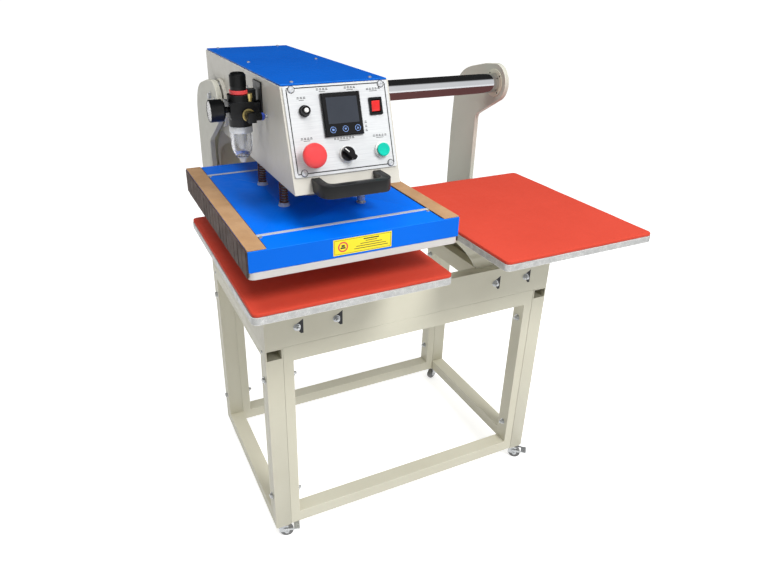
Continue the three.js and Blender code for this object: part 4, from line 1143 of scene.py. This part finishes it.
# %% Plain yellow label
LABEL_X, LABEL_Z, LABEL_FACE = (HEAD_X - 52, HEAD_X + 60), (
    COVER_BOTTOM + 4, COVER_TOP - 4), COVER_LOW.y
label = [painted(block(LABEL_X, (LABEL_FACE - 0.25, LABEL_FACE + 0.05), LABEL_Z, 0), 0)]
INKED = (LABEL_FACE - 0.36, LABEL_FACE - 0.2)
(left, right), (low, high), rule = (LABEL_X[0] + 2,
                                    LABEL_X[1] - 2), (LABEL_Z[0] + 2, LABEL_Z[1] - 2), 0.5
label += [painted(block((left, right), INKED, z, 0), 1)
          for z in ((low, low + rule), (high - rule, high))]
label += [painted(block(x, INKED, (low + 0.6, high - 0.6), 0), 1)
          for x in ((left, left + rule), (right - rule, right))]
for k, length in enumerate((30, 22, 42, 58, 66)):
    top = LABEL_Z[1] - 5 - 4.2 * k
    label.append(painted(block((LABEL_X[0] + 72 - length / 2, LABEL_X[0] + 72 + length / 2), INKED,
                               (top - (2.0 if k == 0 else 1.1), top), 0), 1))
BADGE = aim((LABEL_X[0] + 18, LABEL_FACE - 0.25, (LABEL_Z[0] + LABEL_Z[1]) / 2), (0, -1, 0))
ring = turned([(7.0, 0), (9.4, 0), (9.4, 0.13), (7.0, 0.13), (7.0, 0)], 36)
bars = join(block((-4.6, 4.6), (-3.4, -0.6), (0, 0.11), 0),
            block((-2.8, 3.2), (0.2, 3.6), (0, 0.11), 0))
label.append(painted(moved(ring, BADGE), 2))
label.append(painted(moved(bars, BADGE), 1))
keep("plain_yellow_label", join(*label), [YELLOW, INK, RED], "press")
print("label:", round(LABEL_X[1] - LABEL_X[0]), "mm wide")

# %% Return springs, cups and the oil cap
STUDS = [centre(f"return_spring_{k}") for k in (1, 2, 3, 4)]
SPRING_LOW, SPRING_HIGH = span("return_spring_1")[0].z, span("return_spring_1")[1].z
WIRE = 1.5
coils = grown("return_coils", COILS, [(x, y, SPRING_LOW + WIRE) for x, y, z in STUDS],
              {"Turns": 12.0, "Coil Radius": 7.4 * MM, "Wire Radius": WIRE * MM,
               "Free Length": (SPRING_HIGH - SPRING_LOW - 2 * WIRE) * MM, "Material": SPRING})
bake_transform(coils)
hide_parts(*[f"return_spring_{k}" for k in (1, 2, 3, 4)])
cups = [moved(turned([(4.6, 0.02), (11.2, 0.02), (11.2, 1.4), (10.2, 2.0), (10.0, 6.6), (9.4, 7.0),
                      (9.3, 2.4), (4.6, 2.4), (4.6, 0.02)], 36),
              Matrix.Translation((x, y, COVER_TOP))) for x, y, z in STUDS]
keep("spring_cups", join(*cups), STRIP, "press")
acorn = turned([(0, 0.02), (9.5, 0.02), (9.5, 2), (5, 2.2), (5, 6), (8, 6.4), (8, 12.5),
                (6.2, 14.0), (5.8, 18.0), (4.2, 21.0), (2.0, 22.6), (0, 23)], 30)
keep("oil_cap", moved(acorn, Matrix.Translation((HEAD_X + 68, STUDS[0].y - 43, COVER_TOP))), ZINC,
     "press")
print("coil pieces: 1 for", len(STUDS), "springs")

# %% [markdown]
# ## The air unit
# A filter and regulator on a bracket: a ribbed knob over a red lock ring, a gauge on
# the side, and a clear bowl with a drain below. Round parts are turned profiles, and
# the ribs are grown round them.

# %% Regulator body and bracket
BODY_LOW, BODY_HIGH = span("regulator_body")
KNOB_LOW, KNOB_HIGH = span("regulator_knob")
AIR_X, AIR_Y = centre("regulator_knob").xy
softened("regulator_body", "regulator_body_moulded", BLACK, 1.2, steps=3)
softened("regulator_bracket", "regulator_bracket_bent", BLACK, 0.8)
side_block = block((AIR_X + 14.5, AIR_X + 30), (AIR_Y - 8, AIR_Y + 8),
                   (BODY_HIGH.z - 17, BODY_HIGH.z + 8), 1.2, 3)
plug = moved(turned([(0, 0), (4.2, 0), (4.2, 9), (5.4, 9.2), (5.4, 17), (4.4, 17.6), (0, 17.6)], 8),
             Matrix.Translation((AIR_X + 16, AIR_Y - 14, BODY_HIGH.z - 15)))
keep("regulator_side_block", side_block, BLACK, "head")
keep("regulator_plug", plug, BRASS, "head")
bracket_y = centre("regulator_bracket").y + 14
bracket_spots = [((span("regulator_bracket")[0].x, bracket_y, z), (-1, 0, 0)) for z in (1140, 1102)]
fasteners("bracket_screws", SMALL_SCREW, bracket_spots, "head", 61)
print("air unit axis:", round(AIR_X), round(AIR_Y))

# %% Knob and lock ring
KNOB_R = (KNOB_HIGH.x - KNOB_LOW.x) / 2
tall = KNOB_HIGH.z - KNOB_LOW.z
knob = turned([(0, 0), (KNOB_R - 2.4, 0), (KNOB_R - 2.0, 0.6), (KNOB_R - 2.0, tall * 0.36),
               (KNOB_R - 2.6, tall * 0.4), (KNOB_R - 2.6, tall * 0.86), (KNOB_R - 3.6, tall * 0.95),
               (KNOB_R - 5.5, tall), (KNOB_R - 9, tall), (KNOB_R - 9.6, tall - 1.2),
               (0, tall - 1.2)], 48)
stand_in("regulator_knob", "regulator_knob_moulded",
         moved(knob, Matrix.Translation((AIR_X, AIR_Y, KNOB_LOW.z))), BLACK)
ring_of_bars("regulator_knob_ribs", 36, KNOB_R - 2.3, (1.3, 1.5, tall * 0.52), BLACK,
             Matrix.Translation((AIR_X, AIR_Y, KNOB_LOW.z + tall * 0.63)), "knob", "black_plastic")
lock = turned([(KNOB_R - 1.9, 0.3), (KNOB_R - 0.3, 0.3), (KNOB_R, 0.9), (KNOB_R, 6.4),
               (KNOB_R - 0.4, 7.0), (KNOB_R - 1.9, 7.0), (KNOB_R - 1.9, 0.3)], 48)
keep("regulator_lock_ring", moved(lock, Matrix.Translation((AIR_X, AIR_Y, KNOB_LOW.z))), RED,
     "knob")
print("knob:", round(2 * KNOB_R), "mm across,", round(tall), "mm tall")

# %% Gauge
GAUGE_LOW, GAUGE_HIGH = span("gauge_body")
GAUGE_R = (GAUGE_HIGH.z - GAUGE_LOW.z) / 2
GAUGE_FRAME = Matrix(((0, 0, -1, GAUGE_LOW.x), (-1, 0, 0, AIR_Y), (0, 1, 0, centre("gauge_body").z),
                      (0, 0, 0, 1)))
DEEP = -(GAUGE_HIGH.x - GAUGE_LOW.x)
case = turned([(0, DEEP), (5.5, DEEP), (5.5, DEEP + 6.5), (14.5, DEEP + 6.9),
               (GAUGE_R - 1.6, DEEP + 9.2), (GAUGE_R - 0.3, DEEP + 11), (GAUGE_R - 0.3, -4.6),
               (GAUGE_R, -4.2), (GAUGE_R, -0.6), (GAUGE_R - 0.8, 0), (18.1, 0), (17.7, -0.7),
               (17.7, -3.9), (0, -3.9)], 56)
dial = painted(turned([(0, -3.88), (17.4, -3.88), (17.4, -3.6), (0, -3.6)], 48), 1)
stand_in("gauge_body", "gauge_case", moved(join(case, dial), GAUGE_FRAME), [BLACK, WHITE])
ring_of_bars("gauge_marks", 31, 14.4, (2.2, 0.35, 0.12), INK,
             GAUGE_FRAME @ Matrix.Translation((0, 0, -3.54)), "head", "black_plastic",
             start=math.radians(-45), sweep=math.radians(270))
ring_of_bars("gauge_bold_marks", 7, 13.8, (3.4, 0.8, 0.14), INK,
             GAUGE_FRAME @ Matrix.Translation((0, 0, -3.53)), "head", "black_plastic",
             start=math.radians(-45), sweep=math.radians(270))
glass = turned([(0, -0.9), (17.6, -0.9), (17.6, -0.35), (0, -0.25)], 48)
keep("gauge_glass", moved(glass, GAUGE_FRAME), GLASS, "head")
softened("gauge_needle", "gauge_pointer", INK, 0)
print("gauge radius:", round(GAUGE_R, 1), "mm")


# %% Gauge numbers
def dial_number(text, angle, radius=9.6, tall=3.6):
    letters = bpy.data.curves.new("number_" + text, "FONT")
    letters.body, letters.size, letters.align_x, letters.align_y = text, tall, "CENTER", "CENTER"
    letters.extrude = 0.05
    holder = link_object("number_" + text, letters)
    bpy.context.view_layer.update()
    mesh = bpy.data.meshes.new_from_object(
        holder.evaluated_get(bpy.context.evaluated_depsgraph_get()))
    bpy.data.objects.remove(holder)
    shape = bmesh.new()
    shape.from_mesh(mesh)
    x, y = round_spots(radius, [angle])[0]
    return moved(painted(shape, 0), Matrix.Translation((x, y, -3.5)))


numbers = join(*[dial_number(str(2 * k), 225 - 54 * k) for k in range(6)])
keep("gauge_numbers", moved(numbers, GAUGE_FRAME), INK, "head", merge=1e-5)
print("dial numbers: 6")

# %% Bowl, clamp ring and drain
BOWL_LOW, BOWL_HIGH = span("filter_bowl")
bowl_h, bowl_r, wall = BOWL_HIGH.z - BOWL_LOW.z, (BOWL_HIGH.x - BOWL_LOW.x) / 2, 2.2
BOWL_AT = Matrix.Translation((AIR_X, AIR_Y, BOWL_LOW.z))
bowl = turned([(7.4, 0.4), (bowl_r * 0.5, 0), (bowl_r * 0.72, 5), (bowl_r * 0.86, 13),
               (bowl_r - 2.0, 20), (bowl_r - 2.0, bowl_h), (bowl_r - 2.0 - wall, bowl_h),
               (bowl_r - 2.0 - wall, 20), (bowl_r * 0.86 - wall, 14), (bowl_r * 0.72 - wall, 7),
               (7.4, 3), (7.4, 0.4)], 48)
stand_in("filter_bowl", "clear_filter_bowl", moved(bowl, BOWL_AT), CLEAR)
ring_of_bars("bowl_ribs", 8, bowl_r - 1.8, (1.6, 1.8, bowl_h * 0.56), CLEAR,
             BOWL_AT @ Matrix.Translation((0, 0, bowl_h * 0.62)), "head", "clear_plastic")
clamp = turned([(bowl_r - 3.6, bowl_h - 12), (bowl_r, bowl_h - 12), (bowl_r + 0.3, bowl_h - 11),
                (bowl_r + 0.3, bowl_h - 1), (bowl_r, bowl_h - 0.2), (bowl_r - 1.9, bowl_h - 0.2),
                (bowl_r - 1.9, bowl_h - 11.2), (bowl_r - 3.6, bowl_h - 11.2),
                (bowl_r - 3.6, bowl_h - 12)], 48)
keep("bowl_clamp_ring", moved(clamp, BOWL_AT), STRIP, "head")
core = turned([(0, 16), (5.5, 16), (6.6, 18), (6.6, 24), (9.6, 25), (9.6, bowl_h - 0.5),
               (0, bowl_h - 0.5)], 28)
keep("filter_core", moved(core, BOWL_AT), WHITE, "head")
DRAIN_LOW, DRAIN_HIGH = span("drain_valve")
drain_tall = DRAIN_HIGH.z - DRAIN_LOW.z
valve = turned([(0, 0), (4.6, 0), (5.4, 0.8), (5.4, 3.4), (6.7, 4.2), (6.7, 7.0), (5.6, 7.6),
                (3.0, 8.0), (3.0, drain_tall), (0, drain_tall)], 32)
stand_in("drain_valve", "drain_screw",
         moved(valve, Matrix.Translation((AIR_X, AIR_Y, DRAIN_LOW.z))), WHITE)
collar = turned([(7.6, -1.6), (9.6, -1.6), (9.9, -0.9), (9.9, 1.6), (9.4, 2.2), (7.6, 2.2),
                 (7.6, -1.6)], 36)
keep("drain_collar", moved(collar, BOWL_AT), WHITE, "head")
print("bowl:", round(2 * bowl_r), "mm across,", round(bowl_h), "mm tall")

# %% Air outlet
softened("air_fitting", "air_elbow", BLACK, 0.9, steps=3)
softened("air_tube", "air_tube_clear", CLEAR, 0.0)
tube_at = (span("air_tube")[0].x, *centre("air_tube").yz)
collet = turned([(3.3, 0), (6.0, 0), (6.6, 0.6), (6.6, 3.6), (5.4, 4.2), (5.2, 5.2), (3.3, 5.2),
                 (3.3, 0)], 32)
keep("air_collet", moved(collet, aim(tube_at, (1, 0, 0))), BLUE_RING, "head")
port = turned([(8.1, 0), (10.6, 0), (11.4, 0.6), (11.4, 3.2), (10.6, 3.8), (8.1, 3.8), (8.1, 0)],
              36)
keep("outlet_port_ring", moved(port, aim((AIR_X + 9, BODY_LOW.y - 0.1, tube_at[2]), (0, -1, 0))),
     BRASS, "head")
print("outlet ring at z =", round(tube_at[2], 1))

# %% [markdown]
# ## Casters
# Four small plated casters. Fork and pedal are softened copies; each wheel is turned
# with a rounded tread and a hub, along the axle that its joint gives.

# %% Forks, wheels and pedals
def caster_wheel(corner):
    node_name = corner + "_caster_wheel"
    joint, half = JOINT[corner + "_roll"], 7.0
    radius = joint["pos_m"][2] / MM
    tyre = turned([(0, -half + 1.4), (4.2, -half + 1.2), (4.4, -half), (7.6, -half),
                   (8.2, -half + 1.2), (radius - 3.4, -half + 1.2), (radius - 2.2, -half + 0.3),
                   (radius - 0.7, -half + 1.6), (radius, -half + 3.6), (radius, half - 3.6),
                   (radius - 0.7, half - 1.6), (radius - 2.2, half - 0.3),
                   (radius - 3.4, half - 1.2), (8.2, half - 1.2), (7.6, half), (4.4, half),
                   (4.2, half - 1.2), (0, half - 1.4)], 40)
    place = aim(tuple(Vector(joint["pos_m"]) / MM), tuple(joint["axis"]))
    stand_in(node_name, corner + "_wheel_tyre", moved(tyre, place), TYRE)


for corner in ("front_left", "front_right", "rear_left", "rear_right"):
    caster_wheel(corner)
    softened(corner + "_caster_fork", corner + "_fork_plated", ZINC, 0.35)
    if corner.startswith("front"):
        softened(corner + "_brake_pedal", corner + "_pedal_plated", ZINC, 0.35)
print("casters: 4")

# %% [markdown]
# ## The last step
# The drawn heads have done their work and go.

# %% Finish
for head in HEADS:
    bpy.data.objects.remove(head)
